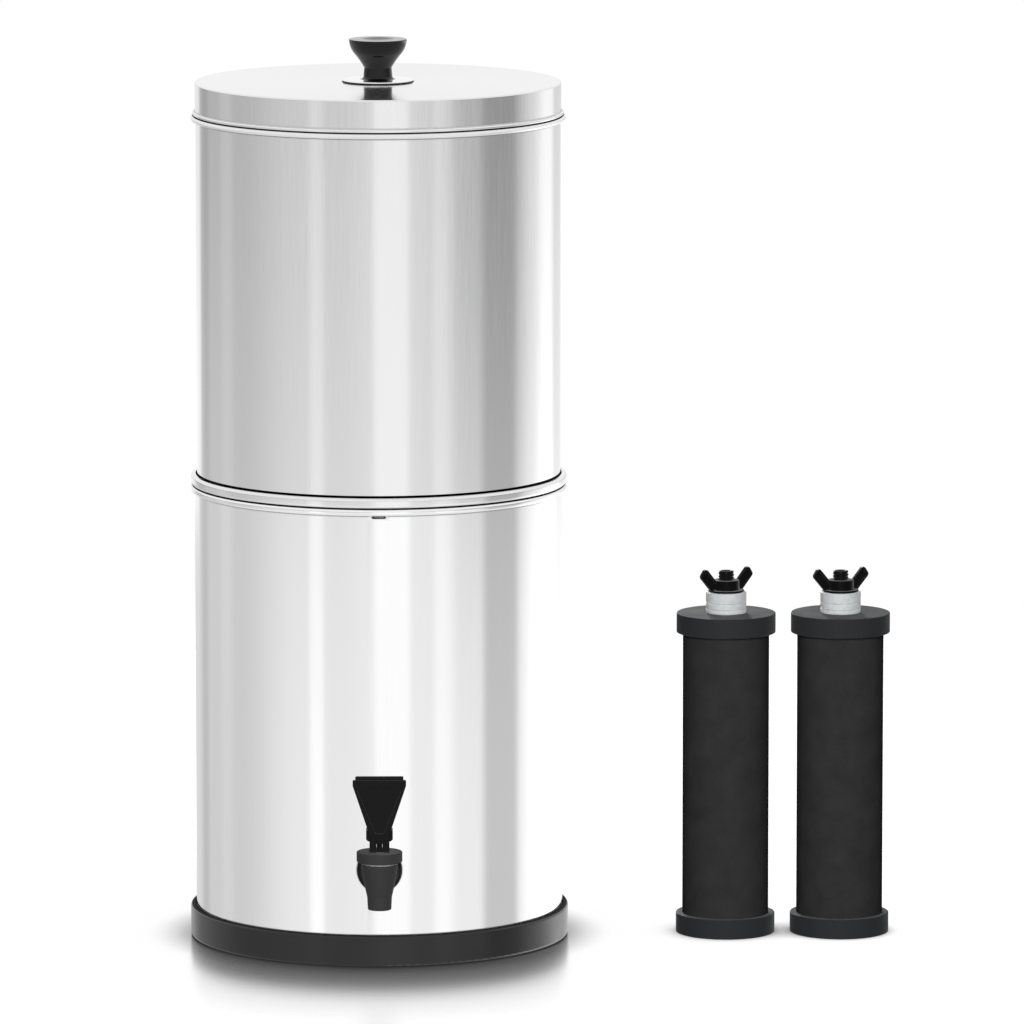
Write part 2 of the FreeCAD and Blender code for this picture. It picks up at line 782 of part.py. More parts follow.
def lever_paddle():
    """Finger paddle: a plate that widens upwards, with a sunk face and a lip along its top."""
    front_y = tap_axis_y - paddle_front
    back_y = front_y + paddle_thickness
    half_foot = paddle_foot_width / 2
    half_top = paddle_width / 2
    shoulder_z = paddle_shoulder_z - paddle_corner_drop
    plate = plate_xz([
        (-half_foot, paddle_foot_z, paddle_edge),
        (half_foot, paddle_foot_z, paddle_edge),
        (half_top, shoulder_z, paddle_edge),
        (half_top, paddle_shoulder_z, paddle_edge),
        (-half_top, paddle_shoulder_z, paddle_edge),
        (-half_top, shoulder_z, paddle_edge),
    ], front_y, back_y)
    front_edges = [e for e in plate.Edges if e.BoundBox.YMax < front_y + paddle_edge / 2]
    plate = plate.makeChamfer(paddle_edge / 2, front_edges)
    half_lip = paddle_lip_width / 2
    lip_top = paddle_shoulder_z + paddle_lip_height
    lip = plate_xz([
        (-half_lip, paddle_shoulder_z - paddle_corner_drop),
        (half_lip, paddle_shoulder_z - paddle_corner_drop),
        (half_lip, lip_top, paddle_edge),
        (-half_lip, lip_top, paddle_edge),
    ], back_y - paddle_lip_thickness, back_y)
    border = paddle_recess_border
    recess = plate_xz([
        (-half_foot + border, paddle_foot_z + 2 * border, paddle_edge),
        (half_foot - border, paddle_foot_z + 2 * border, paddle_edge),
        (half_top - border, shoulder_z - border / 2, paddle_edge),
        (-half_top + border, shoulder_z - border / 2, paddle_edge),
    ], front_y - paddle_recess_depth, front_y + paddle_recess_depth)
    return plate.fuse(lip).cut(recess)


def lever_ears():
    """The wider hub behind the paddle's foot, chamfered at its lower corners."""
    half = ear_width / 2
    back_of_paddle = tap_axis_y - paddle_front + paddle_thickness
    return plate_xz([
        (-half + ear_chamfer, ear_z),
        (half - ear_chamfer, ear_z),
        (half, ear_z + ear_chamfer),
        (half, ear_z + ear_height - ear_chamfer),
        (half - ear_chamfer, ear_z + ear_height),
        (-half + ear_chamfer, ear_z + ear_height),
        (-half, ear_z + ear_height - ear_chamfer),
        (-half, ear_z + ear_chamfer),
    ], back_of_paddle, back_of_paddle + ear_depth)


def tap_lever():
    """Tap lever: paddle, hub and a fork that straddles the stem's tongue and rocks on the bonnet."""
    lever = lever_paddle().fuse(lever_ears()).fuse(fork_block())
    half_slot = tongue_thickness / 2 + fork_slot_gap
    back_of_paddle = tap_axis_y - paddle_front + paddle_thickness
    pocket_radius = stem_radius + fork_pocket_gap
    below_pin = box_between(Vector(-half_slot, back_of_paddle - paddle_thickness, bonnet_z),
                            Vector(half_slot, tap_axis_y + ear_depth, pin_z))
    above_pin = box_between(Vector(-half_slot, tap_axis_y, pin_z - foot_gap),
                            Vector(half_slot, tap_axis_y + ear_depth, pin_z + pocket_radius))
    pin = Vector(0, tap_axis_y, pin_z)
    pocket = cylinder_along_x(pocket_radius, half_slot, pin)
    lever = lever.cut(below_pin.fuse(above_pin).fuse(pocket))
    lever = lever.cut(cylinder_along_x(lever_pin_radius + slip_gap, fork_width, pin))
    return lever.removeSplitter()


def tap_lever_pin():
    """Steel pin through the fork and the stem's tongue."""
    return cylinder_along_x(lever_pin_radius, fork_width / 2 - seat_gap, Vector(0, tap_axis_y, pin_z))


# Filter cartridges


def base_cap(place_x):
    """Cup-shaped plastic cap glued on the cartridge's foot."""
    inside = carbon_radius + glue_gap
    return spun(outline([
        (0, 0),
        (cap_radius, 0, cap_edge),
        (cap_radius, cap_height, cap_edge),
        (inside, cap_height),
        (inside, cap_floor),
        (0, cap_floor),
    ]), Vector(place_x, 0, 0))


def top_cap(place_x):
    """The same cap upside down, with a hole for the stud."""
    inside = carbon_radius + glue_gap
    stud_hole_radius = stud_radius + glue_gap
    top = cartridge_height
    return spun(outline([
        (inside, top - cap_height),
        (cap_radius, top - cap_height, cap_edge),
        (cap_radius, top, cap_edge),
        (stud_hole_radius, top),
        (stud_hole_radius, top - cap_floor),
        (inside, top - cap_floor),
    ]), Vector(place_x, 0, 0))


def stud(place_x):
    """Hollow stud that the water leaves by, bonded in the cap with its flange against the cap's underside."""
    under_cap = cartridge_height - cap_floor
    stud_top = cartridge_height + stud_height
    return spun(outline([
        (stud_bore_radius, under_cap - stud_flange_thickness),
        (stud_flange_radius, under_cap - stud_flange_thickness),
        (stud_flange_radius, under_cap),
        (stud_radius, under_cap),
        (stud_radius, stud_top, stud_edge),
        (stud_bore_radius, stud_top),
    ]), Vector(place_x, 0, 0))


def carbon_element(place_x):
    """Pressed carbon tube between the two caps."""
    return spun(outline([
        (carbon_bore_radius, cap_floor),
        (carbon_radius, cap_floor),
        (carbon_radius, cartridge_height - cap_floor),
        (carbon_bore_radius, cartridge_height - cap_floor),
    ]), Vector(place_x, 0, 0))


def sealing_washers(place_x):
    """Silicone washers stacked round the stud."""
    washers = []
    bottom = cartridge_height
    for height in sealing_washer_heights:
        washers.append(spun(outline([
            (stud_radius + slip_gap, bottom),
            (sealing_washer_radius, bottom, sealing_washer_edge),
            (sealing_washer_radius, bottom + height, sealing_washer_edge),
            (stud_radius + slip_gap, bottom + height),
        ]), Vector(place_x, 0, 0)))
        bottom += height
    return Part.makeCompound(washers)


def wing(base_z):
    """One wing on the side of +X: a leaf that leans outwards, with a sunk panel inside a border on each face."""
    half_thickness = wing_thickness / 2
    leaf = [
        (wing_root_radius, base_z + wing_foot_height, wing_root_round),
        (wing_foot_span / 2, base_z + wing_foot_height, wing_root_round),
        (wing_span / 2, base_z + wing_shoulder_height, wing_shoulder_round),
        (wing_tip_span / 2, base_z + wing_tip_height, wing_tip_round),
        (nut_hub_radius - wing_crotch_inset, base_z + nut_hub_height - wing_crotch_inset, wing_root_round),
        (wing_root_radius, base_z + nut_hub_height - wing_crotch_inset, wing_root_round),
    ]
    plate = plate_xz(leaf, -half_thickness, half_thickness)
    face_edges = [e for e in plate.Edges if e.BoundBox.YLength < sheet]
    plate = plate.makeFillet(wing_edge, face_edges)
    panel = Part.Face(Part.Wire(outline(leaf))).makeOffset2D(-wing_border)
    panel = panel.extrude(Vector(0, wing_recess_depth, 0))
    front_panel = panel.translated(Vector(0, -half_thickness, 0))
    back_panel = panel.translated(Vector(0, half_thickness - wing_recess_depth, 0))
    return plate.cut(front_panel).cut(back_panel)


def wing_nut(place_x, turn):
    """Wing nut on the stud: a flange, an upright hub and two leaf-shaped wings that lean outwards."""
    base_z = cartridge_height + sum(sealing_washer_heights)
    bore_radius = stud_radius + running_gap
    hub = spun(outline([
        (0, base_z),
        (nut_flange_radius, base_z, nut_flange_edge),
        (nut_flange_radius, base_z + nut_flange_height, nut_flange_edge),
        (nut_hub_radius, base_z + nut_flange_height, nut_flange_edge),
        (nut_hub_radius, base_z + nut_hub_height, nut_hub_edge),
        (0, base_z + nut_hub_height),
    ]))
    right_wing = wing(base_z)
    left_wing = right_wing.copy()
    left_wing.rotate(Vector(0, 0, 0), UP, 180)
    nut = hub.fuse(right_wing).fuse(left_wing)
    nut = nut.cut(Part.makeCylinder(bore_radius, 2 * wing_tip_height, Vector(0, 0, base_z - sheet), UP))
    nut.rotate(Vector(0, 0, 0), UP, turn)
    nut.translate(Vector(place_x, 0, 0))
    return nut


nodes = {
    "base_ring": base_ring(),
    "lower_chamber_wall": lower_chamber_wall(),
    "lower_chamber_floor": lower_chamber_floor(),
    "upper_chamber_wall": upper_chamber_wall(),
    "upper_chamber_floor": upper_chamber_floor(),
    "lid_shell": lid_shell(),
    "lid_knob": knob(),
    "knob_plate": knob_plate(),
    "knob_gasket": knob_gasket(),
    "knob_screw": knob_screw(),
    "knob_screw_washer": knob_screw_washer(),
    "tap_body": tap_body(),
    "tap_outer_washer": tap_outer_washer(),
    "tap_inner_washer": tap_inner_washer(),
    "tap_shank_nut": tap_shank_nut(),
    "tap_bonnet_gasket": tap_bonnet_gasket(),
    "tap_bonnet": tap_bonnet(),
    "tap_stem": tap_stem(),
    "tap_seat_cup": tap_seat_cup(),
    "tap_spring": tap_spring(),
    "tap_lever": tap_lever(),
    "tap_lever_pin": tap_lever_pin(),
}
for side, angle in plug_angles.items():
    nodes[f"blocking_plug_{side}"] = blocking_plug(angle)
for side, place_x in cartridge_places.items():
    nodes[f"{side}_base_cap"] = base_cap(place_x)
    nodes[f"{side}_top_cap"] = top_cap(place_x)
    nodes[f"{side}_stud"] = stud(place_x)
    nodes[f"{side}_carbon_element"] = carbon_element(place_x)
    nodes[f"{side}_sealing_washers"] = sealing_washers(place_x)
    nodes[f"{side}_wing_nut"] = wing_nut(place_x, wing_turns[side])

os.makedirs("parts", exist_ok=True)
for name, shape in nodes.items():
    box = shape.BoundBox
    print(f"{name}: {len(shape.Solids)} solid, {shape.Volume:.1f} mm3, valid {shape.isValid()},",
          f"z {box.ZMin:.2f} to {box.ZMax:.2f}")
    shape.exportStep(f"parts/{name}.step")
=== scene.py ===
# %% [markdown]
# # A gravity water filter with a tap
#
# Two stainless chambers stand on a rubber ring, with a lid and a knob on top and a lever tap in front. Two
# carbon cartridges stand beside them. The solid model is already made, so it is loaded first, and this
# lesson gives it finishes, a few finer pieces, a studio and a camera. All lengths are in metres.

# %% Load the solid model
import json
import math

import bpy
import numpy as np
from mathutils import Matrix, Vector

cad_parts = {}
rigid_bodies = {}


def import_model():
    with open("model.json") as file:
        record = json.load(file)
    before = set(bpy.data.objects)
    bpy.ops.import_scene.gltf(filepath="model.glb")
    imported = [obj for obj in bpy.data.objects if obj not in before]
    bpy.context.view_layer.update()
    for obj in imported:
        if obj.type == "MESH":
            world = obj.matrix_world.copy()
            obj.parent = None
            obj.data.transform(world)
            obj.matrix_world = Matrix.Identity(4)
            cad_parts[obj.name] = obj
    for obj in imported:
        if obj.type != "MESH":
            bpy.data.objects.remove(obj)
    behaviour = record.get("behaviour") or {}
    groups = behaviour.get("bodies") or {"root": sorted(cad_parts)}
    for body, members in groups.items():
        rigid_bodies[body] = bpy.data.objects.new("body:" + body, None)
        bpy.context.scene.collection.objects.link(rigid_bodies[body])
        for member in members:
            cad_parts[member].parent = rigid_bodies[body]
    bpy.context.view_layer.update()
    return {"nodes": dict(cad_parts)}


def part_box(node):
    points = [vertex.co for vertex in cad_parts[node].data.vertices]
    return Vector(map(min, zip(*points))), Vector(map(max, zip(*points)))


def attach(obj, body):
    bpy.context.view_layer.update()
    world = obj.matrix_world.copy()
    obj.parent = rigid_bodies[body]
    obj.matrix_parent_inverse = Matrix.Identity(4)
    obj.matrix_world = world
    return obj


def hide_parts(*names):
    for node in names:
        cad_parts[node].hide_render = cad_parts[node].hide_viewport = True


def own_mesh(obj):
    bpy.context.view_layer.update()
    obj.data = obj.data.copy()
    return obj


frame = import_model()
cad = frame["nodes"]

# %% [markdown]
# ## Small helpers
#
# Colours are written as sRGB hex values, because that is how they are read off a screen, and one function
# turns them to the linear values that the shaders need. A material is a tree of nodes, and one small
# function adds a node with its settings and its links, so that a finish reads like a recipe.

# %% Helpers for colours, nodes and materials
millimetre = 0.001


def linear(hex_colour):
    """sRGB hex to linear RGBA: c / 12.92 below 0.04045, else ((c + 0.055) / 1.055) to the power 2.4."""
    parts = [int(hex_colour[i:i + 2], 16) / 255 for i in (1, 3, 5)]
    return [c / 12.92 if c <= 0.04045 else ((c + 0.055) / 1.055) ** 2.4 for c in parts] + [1.0]


def add(tree, kind, settings=None, **links):
    """Adds a node. A link is input_name=value or input_name=socket, and in_0 stands for the first input."""
    node = tree.nodes.new(kind)
    for name, value in (settings or {}).items():
        setattr(node, name, value)
    for name, value in links.items():
        key = int(name[3:]) if name.startswith("in_") else name.replace("_", " ")
        if isinstance(value, bpy.types.NodeSocket):
            tree.links.new(value, node.inputs[key])
        else:
            node.inputs[key].default_value = value
    return node


def new_material(name, colour, roughness, **sockets):
    """A Principled material, ready for more nodes: (material, tree, shader, object coordinates)."""
    material = bpy.data.materials.new(name)
    material.use_nodes = True
    tree = material.node_tree
    shader = tree.nodes["Principled BSDF"]
    shader.inputs["Base Color"].default_value = linear(colour)
    shader.inputs["Roughness"].default_value = roughness
    for name, value in sockets.items():
        shader.inputs[name.replace("_", " ")].default_value = value
    place = add(tree, "ShaderNodeTexCoord").outputs["Object"]
    return material, tree, shader, place


def dress(material, *names):
    """Gives a material to solid pieces by their node names."""
    for name in names:
        cad[name].data.materials.clear()
        cad[name].data.materials.append(material)



# %% [markdown]
# ## Camera
#
# A product photo of this kind is taken from far away with a long lens, so that the rings of the vessel stay
# flat and parallel. The camera stands more than six metres away, a little above the lid, and looks slightly
# down. It points between the vessel and the cartridges, which turns the vessel to the left of the picture.

# %% Camera
camera_distance = 6.369
camera_height = 1.2184
camera_pitch = math.radians(8.381)
camera_turn = math.radians(0.787)

camera = bpy.data.objects.new("camera", bpy.data.cameras.new("camera"))
bpy.context.scene.collection.objects.link(camera)
camera.data.lens = 344.6
camera.data.sensor_width = 36.0
camera.location = (0, -camera_distance, camera_height)
camera.rotation_euler = (math.pi / 2 - camera_pitch, 0, -camera_turn)
bpy.context.scene.camera = camera
print("lens", camera.data.lens, "mm at", camera_distance, "m")

# %% [markdown]
# ## Studio
#
# Bare steel has hardly any colour of its own: what the eye sees on it is the room. In a product studio that
# is a ring of white cards and black flags round the object. On an upright cylinder each card becomes an
# upright band, because the surface turns sideways but not up or down. The cards are painted into the world
# by compass direction, which costs no geometry and can never stand in the camera's way.
#
# The world answers three kinds of ray. The camera and the white floor's reflections see a plain white
# backdrop. Reflections see the ring of cards. Diffuse light sees a soft and even grey, so that the dark
# plastics get their shape from the softboxes.

# %% World with cards and flags
scene = bpy.context.scene
scene.view_settings.view_transform = "Standard"
world = bpy.data.worlds.new("studio")
scene.world = world
world.use_nodes = True
sky = world.node_tree
sky.nodes.clear()
direction = add(sky, "ShaderNodeTexCoord").outputs["Generated"]
parts = add(sky, "ShaderNodeSeparateXYZ", in_0=direction)
forward = add(sky, "ShaderNodeMath", {"operation": "MULTIPLY"}, in_0=parts.outputs["Y"], in_1=-1.0)
turn = add(sky, "ShaderNodeMath", {"operation": "ARCTAN2"}, in_0=parts.outputs["X"], in_1=forward.outputs[0])
compass = add(sky, "ShaderNodeMath", {"operation": "DEGREES"}, in_0=turn.outputs[0]).outputs[0]
height = parts.outputs["Z"]


def smooth_step(tree, value, start, end, low=0.0, high=1.0):
    """Goes from low to high along a soft S-curve while the value goes from start to end."""
    settings = {"interpolation_type": "SMOOTHSTEP"}
    span = add(tree, "ShaderNodeMapRange", settings, in_0=value, in_1=start, in_2=end, in_3=low, in_4=high)
    return span.outputs[0]


def combine(tree, operation, first, second):
    """One sum of two values or sockets."""
    return add(tree, "ShaderNodeMath", {"operation": operation}, in_0=first, in_1=second).outputs[0]


# Heights are the upward share of a direction: 0 is level and -1 is straight down. The upper chamber mirrors
# the far row of cards, and the lower chamber mirrors the near row, which lies below the first height here.
near_row_start, near_row_full = -0.142, -0.150
haze_top, haze_foot = -0.102, -0.145
haze_above, haze_below = -0.16, 0.055
ceiling_start, ceiling_full, ceiling_light = 0.0, 0.08, 0.98
ground_start, ground_full, ground_light = -0.45, -0.75, 0.9
room_light = 0.09

# Each card or flag: from and to in degrees from the camera towards +X, how soft each side is, and how much
# light it adds in the far row and in the near row. A flag is black, so it takes light away.
far_base, near_base = 0.66, 0.62
studio_row = [
    ("left rear window", -260, -150, 8, 6, 0.38, 0.06),
    ("left rear flag", -151, -132, 8, 8, -0.10, -0.12),
    ("left rear card", -122, -103, 8, 5, 0.08, 0.05),
    ("left wall, near half", -98, 400, 48, 1, 0.15, 0.25),
    ("narrow left card", -46, -33, 4, 4, 0.12, 0.22),
    ("front wall", -26, 400, 24, 1, 0.10, 0.03),
    ("front card", -5, 21, 4, 4, 0.23, 0.14),
    ("right front card", 32, 52, 6, 10, 0.14, 0.15),
    ("right wall in shade", 18, 400, 46, 1, -0.30, 0.02),
    ("right flag", 65, 101, 8, 8, -0.15, -0.34),
    ("right window", 96, 400, 18, 1, 0.30, 0.26),
    ("right window's middle", 112, 150, 20, 10, 0.34, 0.50),
    ("right rear flag", 144, 400, 12, 1, 0.02, -0.16),
]


def blend(tree, share, first, second):
    """The first value where the share is 0 and the second where it is 1."""
    return add(tree, "ShaderNodeMix", {"data_type": "FLOAT"}, in_0=share, in_2=first, in_3=second).outputs[0]


level = smooth_step(sky, height, near_row_start, near_row_full, far_base, near_base)
for _, start, end, soft_start, soft_end, far, near in studio_row:
    risen = smooth_step(sky, compass, start, start + soft_start)
    fallen = smooth_step(sky, compass, end - soft_end, end)
    width = combine(sky, "SUBTRACT", risen, fallen)
    light = smooth_step(sky, height, near_row_start, near_row_full, far, near)
    level = combine(sky, "ADD", level, combine(sky, "MULTIPLY", width, light))
haze = add(sky, "ShaderNodeMapRange", in_0=height, in_1=haze_top, in_2=haze_foot, in_3=haze_above,
           in_4=haze_below)
level = combine(sky, "ADD", level, haze.outputs[0])
above = blend(sky, smooth_step(sky, height, ceiling_start, ceiling_full), level, ceiling_light)
mirrored = blend(sky, smooth_step(sky, height, ground_start, ground_full), above, ground_light)

rays = add(sky, "ShaderNodeLightPath")
lit = blend(sky, rays.outputs["Is Glossy Ray"], room_light, mirrored)
backdrop = combine(sky, "MAXIMUM", rays.outputs["Is Camera Ray"], rays.outputs["Is Transmission Ray"])
strength = blend(sky, backdrop, lit, 1.0)
background = add(sky, "ShaderNodeBackground", Color=(1, 1, 1, 1), Strength=strength)
add(sky, "ShaderNodeOutputWorld", Surface=background.outputs[0])
print("world of", len(sky.nodes), "nodes")

# %% [markdown]
# Three softboxes light the set. The front one, beside the camera, gives the dark plastics their soft middle
# and their dark edges, and a photographer would keep it off the steel with flags. Light linking does the
# same here: at the end of the script the front softbox is told to light the plastic, carbon and silicone
# pieces only. One behind does the same for views from the back. The overhead one lights the floor and the
# steel. The camera sees none of them.

# %% Softboxes
# The middle of the whole set.
aim = np.array([0.08, 0.0, 0.28])


def softbox(name, place, size, power):
    """A square area lamp that faces the object."""
    lamp = bpy.data.objects.new(name, bpy.data.lights.new(name, "AREA"))
    bpy.context.scene.collection.objects.link(lamp)
    lamp.data.size = size
    lamp.data.energy = power
    lamp.location = place
    back = np.array(place) - aim
    lamp.rotation_euler = (math.acos(back[2] / np.linalg.norm(back)), 0, math.atan2(back[0], -back[1]))
    lamp.visible_camera = False
    return lamp


front_softbox = softbox("front_softbox", (0.1, -3.4, 1.25), 0.9, 92.0)
rear_softbox = softbox("rear_softbox", (-0.4, 3.4, 1.25), 0.9, 60.0)
overhead_softbox = softbox("overhead_softbox", (0.3, -0.3, 3.0), 2.2, 34.0)
overhead_softbox.visible_glossy = False
for lamp in (front_softbox, rear_softbox, overhead_softbox):
    print(lamp.name, lamp.data.energy, "W")

# %% [markdown]
# The floor is a glossy white sheet. Its own white is partly light of its own, seen only by the camera and by
# reflections, so that it matches the white backdrop without lighting the object, and partly an ordinary
# white surface that takes the overhead lamp's soft shadow. A painted shadow near the vessel darkens both, and
# its mirror. A clear gloss on top mirrors the foot of the vessel. It fades away at its rim, where the
# backdrop takes over.

# %% Floor
floor_radius = 1.6
floor_drop = 0.05 * millimetre
floor_corners = 96
foot_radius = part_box("base_ring")[1].x
angles = np.linspace(0, 2 * np.pi, floor_corners + 1)[:-1]
rim = np.stack([floor_radius * np.cos(angles), floor_radius * np.sin(angles),
                np.full(floor_corners, -floor_drop)], axis=1)
floor_mesh = bpy.data.meshes.new("floor")
floor_mesh.from_pydata(rim.tolist(), [], [list(range(floor_corners))])
floor = bpy.data.objects.new("floor", floor_mesh)
scene.collection.objects.link(floor)
floor.visible_glossy = False
floor.visible_diffuse = False
print("floor", 2 * floor_radius, "m across")

# %% [markdown]
# The floor's painted shadow comes from how closed in each spot is, measured by ambient occlusion, and from a
# ring of painted shade round the foot of the vessel. The mirror is strongest at the foot and weaker further
# out.

# %% Floor finish
shadow_reach = 30 * millimetre
closed_in, nearly_open = 0.25, 0.95
shadow_tone, foot_shadow_tone = 0.25, 0.45
mirror_near, mirror_far = 0.95, 0.45
mirror_reach = 360 * millimetre
fade_start, fade_end = 0.9, 1.5
glow_strength = 1.1

floor_white = bpy.data.materials.new("white_acrylic_sheet")
floor_white.use_nodes = True
floor_tree = floor_white.node_tree
floor_tree.nodes.clear()
floor_place = add(floor_tree, "ShaderNodeTexCoord").outputs["Object"]
floor_rays = add(floor_tree, "ShaderNodeLightPath").outputs
seen = combine(floor_tree, "MAXIMUM", floor_rays["Is Camera Ray"], floor_rays["Is Glossy Ray"])
reach = add(floor_tree, "ShaderNodeVectorMath", {"operation": "LENGTH"}, in_0=floor_place).outputs["Value"]
# Painted shadow: ambient occlusion and a ring round the vessel's foot darken the floor's own light, its white
# and its mirror.
closeness = add(floor_tree, "ShaderNodeAmbientOcclusion", {"samples": 8}, Distance=shadow_reach).outputs["AO"]
painted_contact_shadow = smooth_step(floor_tree, closeness, closed_in, nearly_open, shadow_tone, 1.0)
painted_foot_shadow = smooth_step(floor_tree, reach, foot_radius - shadow_reach / 3, foot_radius + shadow_reach,
                         foot_shadow_tone, 1.0)
shade = combine(floor_tree, "MINIMUM", painted_contact_shadow, painted_foot_shadow)
own_light = combine(floor_tree, "MULTIPLY", combine(floor_tree, "MULTIPLY", seen, glow_strength), shade)
glow = add(floor_tree, "ShaderNodeEmission", Color=(1, 1, 1, 1), Strength=own_light)
# This white carries the painted shadow into both the diffuse paint and the mirror.
white = add(floor_tree, "ShaderNodeCombineColor", in_0=shade, in_1=shade, in_2=shade)
paint = add(floor_tree, "ShaderNodeBsdfDiffuse", Color=white.outputs[0])
lit_paint = add(floor_tree, "ShaderNodeAddShader", in_0=glow.outputs[0], in_1=paint.outputs[0])
mirror = add(floor_tree, "ShaderNodeBsdfGlossy", Color=white.outputs[0], Roughness=0.20)
mirror_share = smooth_step(floor_tree, reach, foot_radius, foot_radius + mirror_reach,
                           mirror_near, mirror_far)
gloss = add(floor_tree, "ShaderNodeMixShader", in_0=mirror_share, in_1=lit_paint.outputs[0],
            in_2=mirror.outputs[0])
fade = smooth_step(floor_tree, reach, fade_start, fade_end)
clear = add(floor_tree, "ShaderNodeBsdfTransparent")
faded = add(floor_tree, "ShaderNodeMixShader", in_0=fade, in_1=gloss.outputs[0], in_2=clear.outputs[0])
add(floor_tree, "ShaderNodeOutputMaterial", Surface=faded.outputs[0])
floor_mesh.materials.append(floor_white)
print(floor_white.name, "of", len(floor_tree.nodes), "nodes")

# %% [markdown]
# ## Stainless steel
#
# The chambers are rolled from stainless sheet, brushed round the wall with a fine belt and sold with that
# satin face. The brushing leaves scratches far finer than a pixel. What the eye sees of them is a faint
# streaking up and down the wall, so they are drawn here, as coarse as they need to show, as a noise that is
# long up the wall and short round it. It changes the roughness and the tone a little.
#
# Where two sheets nearly touch, hardly any light gets in. Ambient occlusion with a short reach finds these
# gaps, and there the steel's colour is painted black as shade and made dull. The crease above the bead gets
# a painted line of shade of its own, black and dull, masked by height and by distance from the axis.

# %% Brushed steel
grain_width = 0.9 * millimetre
grain_length = 40.0 * millimetre
speck_size = 1.2 * millimetre
polish_depth = 0.02 * millimetre
gap_reach = 1.8 * millimetre
gap_closed, gap_open = 0.50, 0.90
quarter_turn = 0.25
bead_top = 306.8 * millimetre
bead_reach = 4.0 * millimetre
crease_height = 1.1 * millimetre
crease_radius = 120.2 * millimetre


def distance_from_axis(tree, place):
    """The length of a place's x and y."""
    flat = add(tree, "ShaderNodeVectorMath", {"operation": "MULTIPLY"}, in_0=place, in_1=(1, 1, 0))
    return add(tree, "ShaderNodeVectorMath", {"operation": "LENGTH"}, in_0=flat.outputs[0]).outputs["Value"]


def grained(tree, place, **settings):
    """A noise in streaks that are long up and down and short round the wall."""
    stretch = (1 / grain_width, 1 / grain_width, 1 / grain_length)
    grain_place = add(tree, "ShaderNodeMapping", in_0=place, Scale=stretch)
    return add(tree, "ShaderNodeTexNoise", in_0=grain_place.outputs[0], Scale=1.0, Detail=3.0, **settings)


def satin_steel(name, colour, roughness, painted_crease_shade=False):
    """Brushed stainless sheet with fine streaks, painted shade in narrow gaps, and a painted shade line in
    the crease if asked.
    """
    material, tree, shader, place = new_material(name, colour, roughness, Metallic=1.0, Anisotropic=0.35)
    shader.inputs["Anisotropic Rotation"].default_value = quarter_turn
    around = add(tree, "ShaderNodeTangent", {"direction_type": "RADIAL", "axis": "Z"})
    tree.links.new(around.outputs[0], shader.inputs["Tangent"])
    grain = grained(tree, place, Roughness=0.6)
    rough = add(tree, "ShaderNodeMapRange", in_0=grain.outputs[0], in_1=0.3, in_2=0.7,
                in_3=roughness * 0.8, in_4=roughness * 1.25)
    speck_place = add(tree, "ShaderNodeMapping", in_0=place, Scale=(1 / speck_size,) * 3)
    speck = add(tree, "ShaderNodeTexNoise", in_0=speck_place.outputs[0], Scale=1.0, Detail=2.0)
    bump = add(tree, "ShaderNodeBump", Strength=0.05, Distance=polish_depth, Height=speck.outputs[0])
    tree.links.new(bump.outputs[0], shader.inputs["Normal"])
    tone = add(tree, "ShaderNodeMapRange", in_0=grain.outputs[0], in_1=0.25, in_2=0.75, in_3=0.975, in_4=1.01)
    # Painted shade: where ambient occlusion finds a narrow gap, the base colour is darkened and the roughness
    # raised.
    openness = add(tree, "ShaderNodeAmbientOcclusion", {"samples": 8}, Distance=gap_reach).outputs["AO"]
    light = smooth_step(tree, openness, gap_closed, gap_open)
    # Painted shade line in the crease above the bead, masked by height and by distance from the axis.
    if painted_crease_shade:
        z = add(tree, "ShaderNodeSeparateXYZ", in_0=place).outputs["Z"]
        below = smooth_step(tree, z, bead_top - 0.5 * millimetre, bead_top - 0.2 * millimetre)
        above = smooth_step(tree, z, bead_top + crease_height, bead_top + crease_height + 0.3 * millimetre)
        radius = distance_from_axis(tree, place)
        line = combine(tree, "MULTIPLY", combine(tree, "SUBTRACT", below, above),
                       smooth_step(tree, radius, crease_radius, crease_radius - 0.2 * millimetre))
        light = combine(tree, "MULTIPLY", light, combine(tree, "SUBTRACT", 1.0, line))
    level = combine(tree, "MULTIPLY", tone.outputs[0], light)
    dull = combine(tree, "MAXIMUM", rough.outputs[0], combine(tree, "SUBTRACT", 1.0, light))
    tree.links.new(dull, shader.inputs["Roughness"])
    base = add(tree, "ShaderNodeMix", {"data_type": "RGBA", "blend_type": "MULTIPLY"}, in_0=1.0,
               in_6=linear(colour))
    grey = add(tree, "ShaderNodeCombineColor", in_0=level, in_1=level, in_2=level)
    tree.links.new(grey.outputs[0], base.inputs[7])
    tree.links.new(base.outputs[2], shader.inputs["Base Color"])
    return material


upper_steel = satin_steel("brushed_stainless_sheet", "#e9e9ea", 0.13, painted_crease_shade=True)
# The lower sheet is a lighter copy of the same steel. Its base colour is painted brighter than the upper
# sheet's, standing in for the brighter light the lower chamber mirrors.
lower_steel = satin_steel("bright_brushed_stainless_sheet", "#f4f4f5", 0.11)
lid_steel = satin_steel("brushed_stainless_lid", "#e9e9ea", 0.12)
dress(upper_steel, "upper_chamber_wall")
dress(lower_steel, "lower_chamber_wall")
dress(lid_steel, "lid_shell")
print("brushed:", upper_steel.name, lower_steel.name, lid_steel.name)

# %% [markdown]
# The inside of the chambers is left as it comes from the mill. It is duller than the outside, and it
# scatters light where the outside mirrors it.

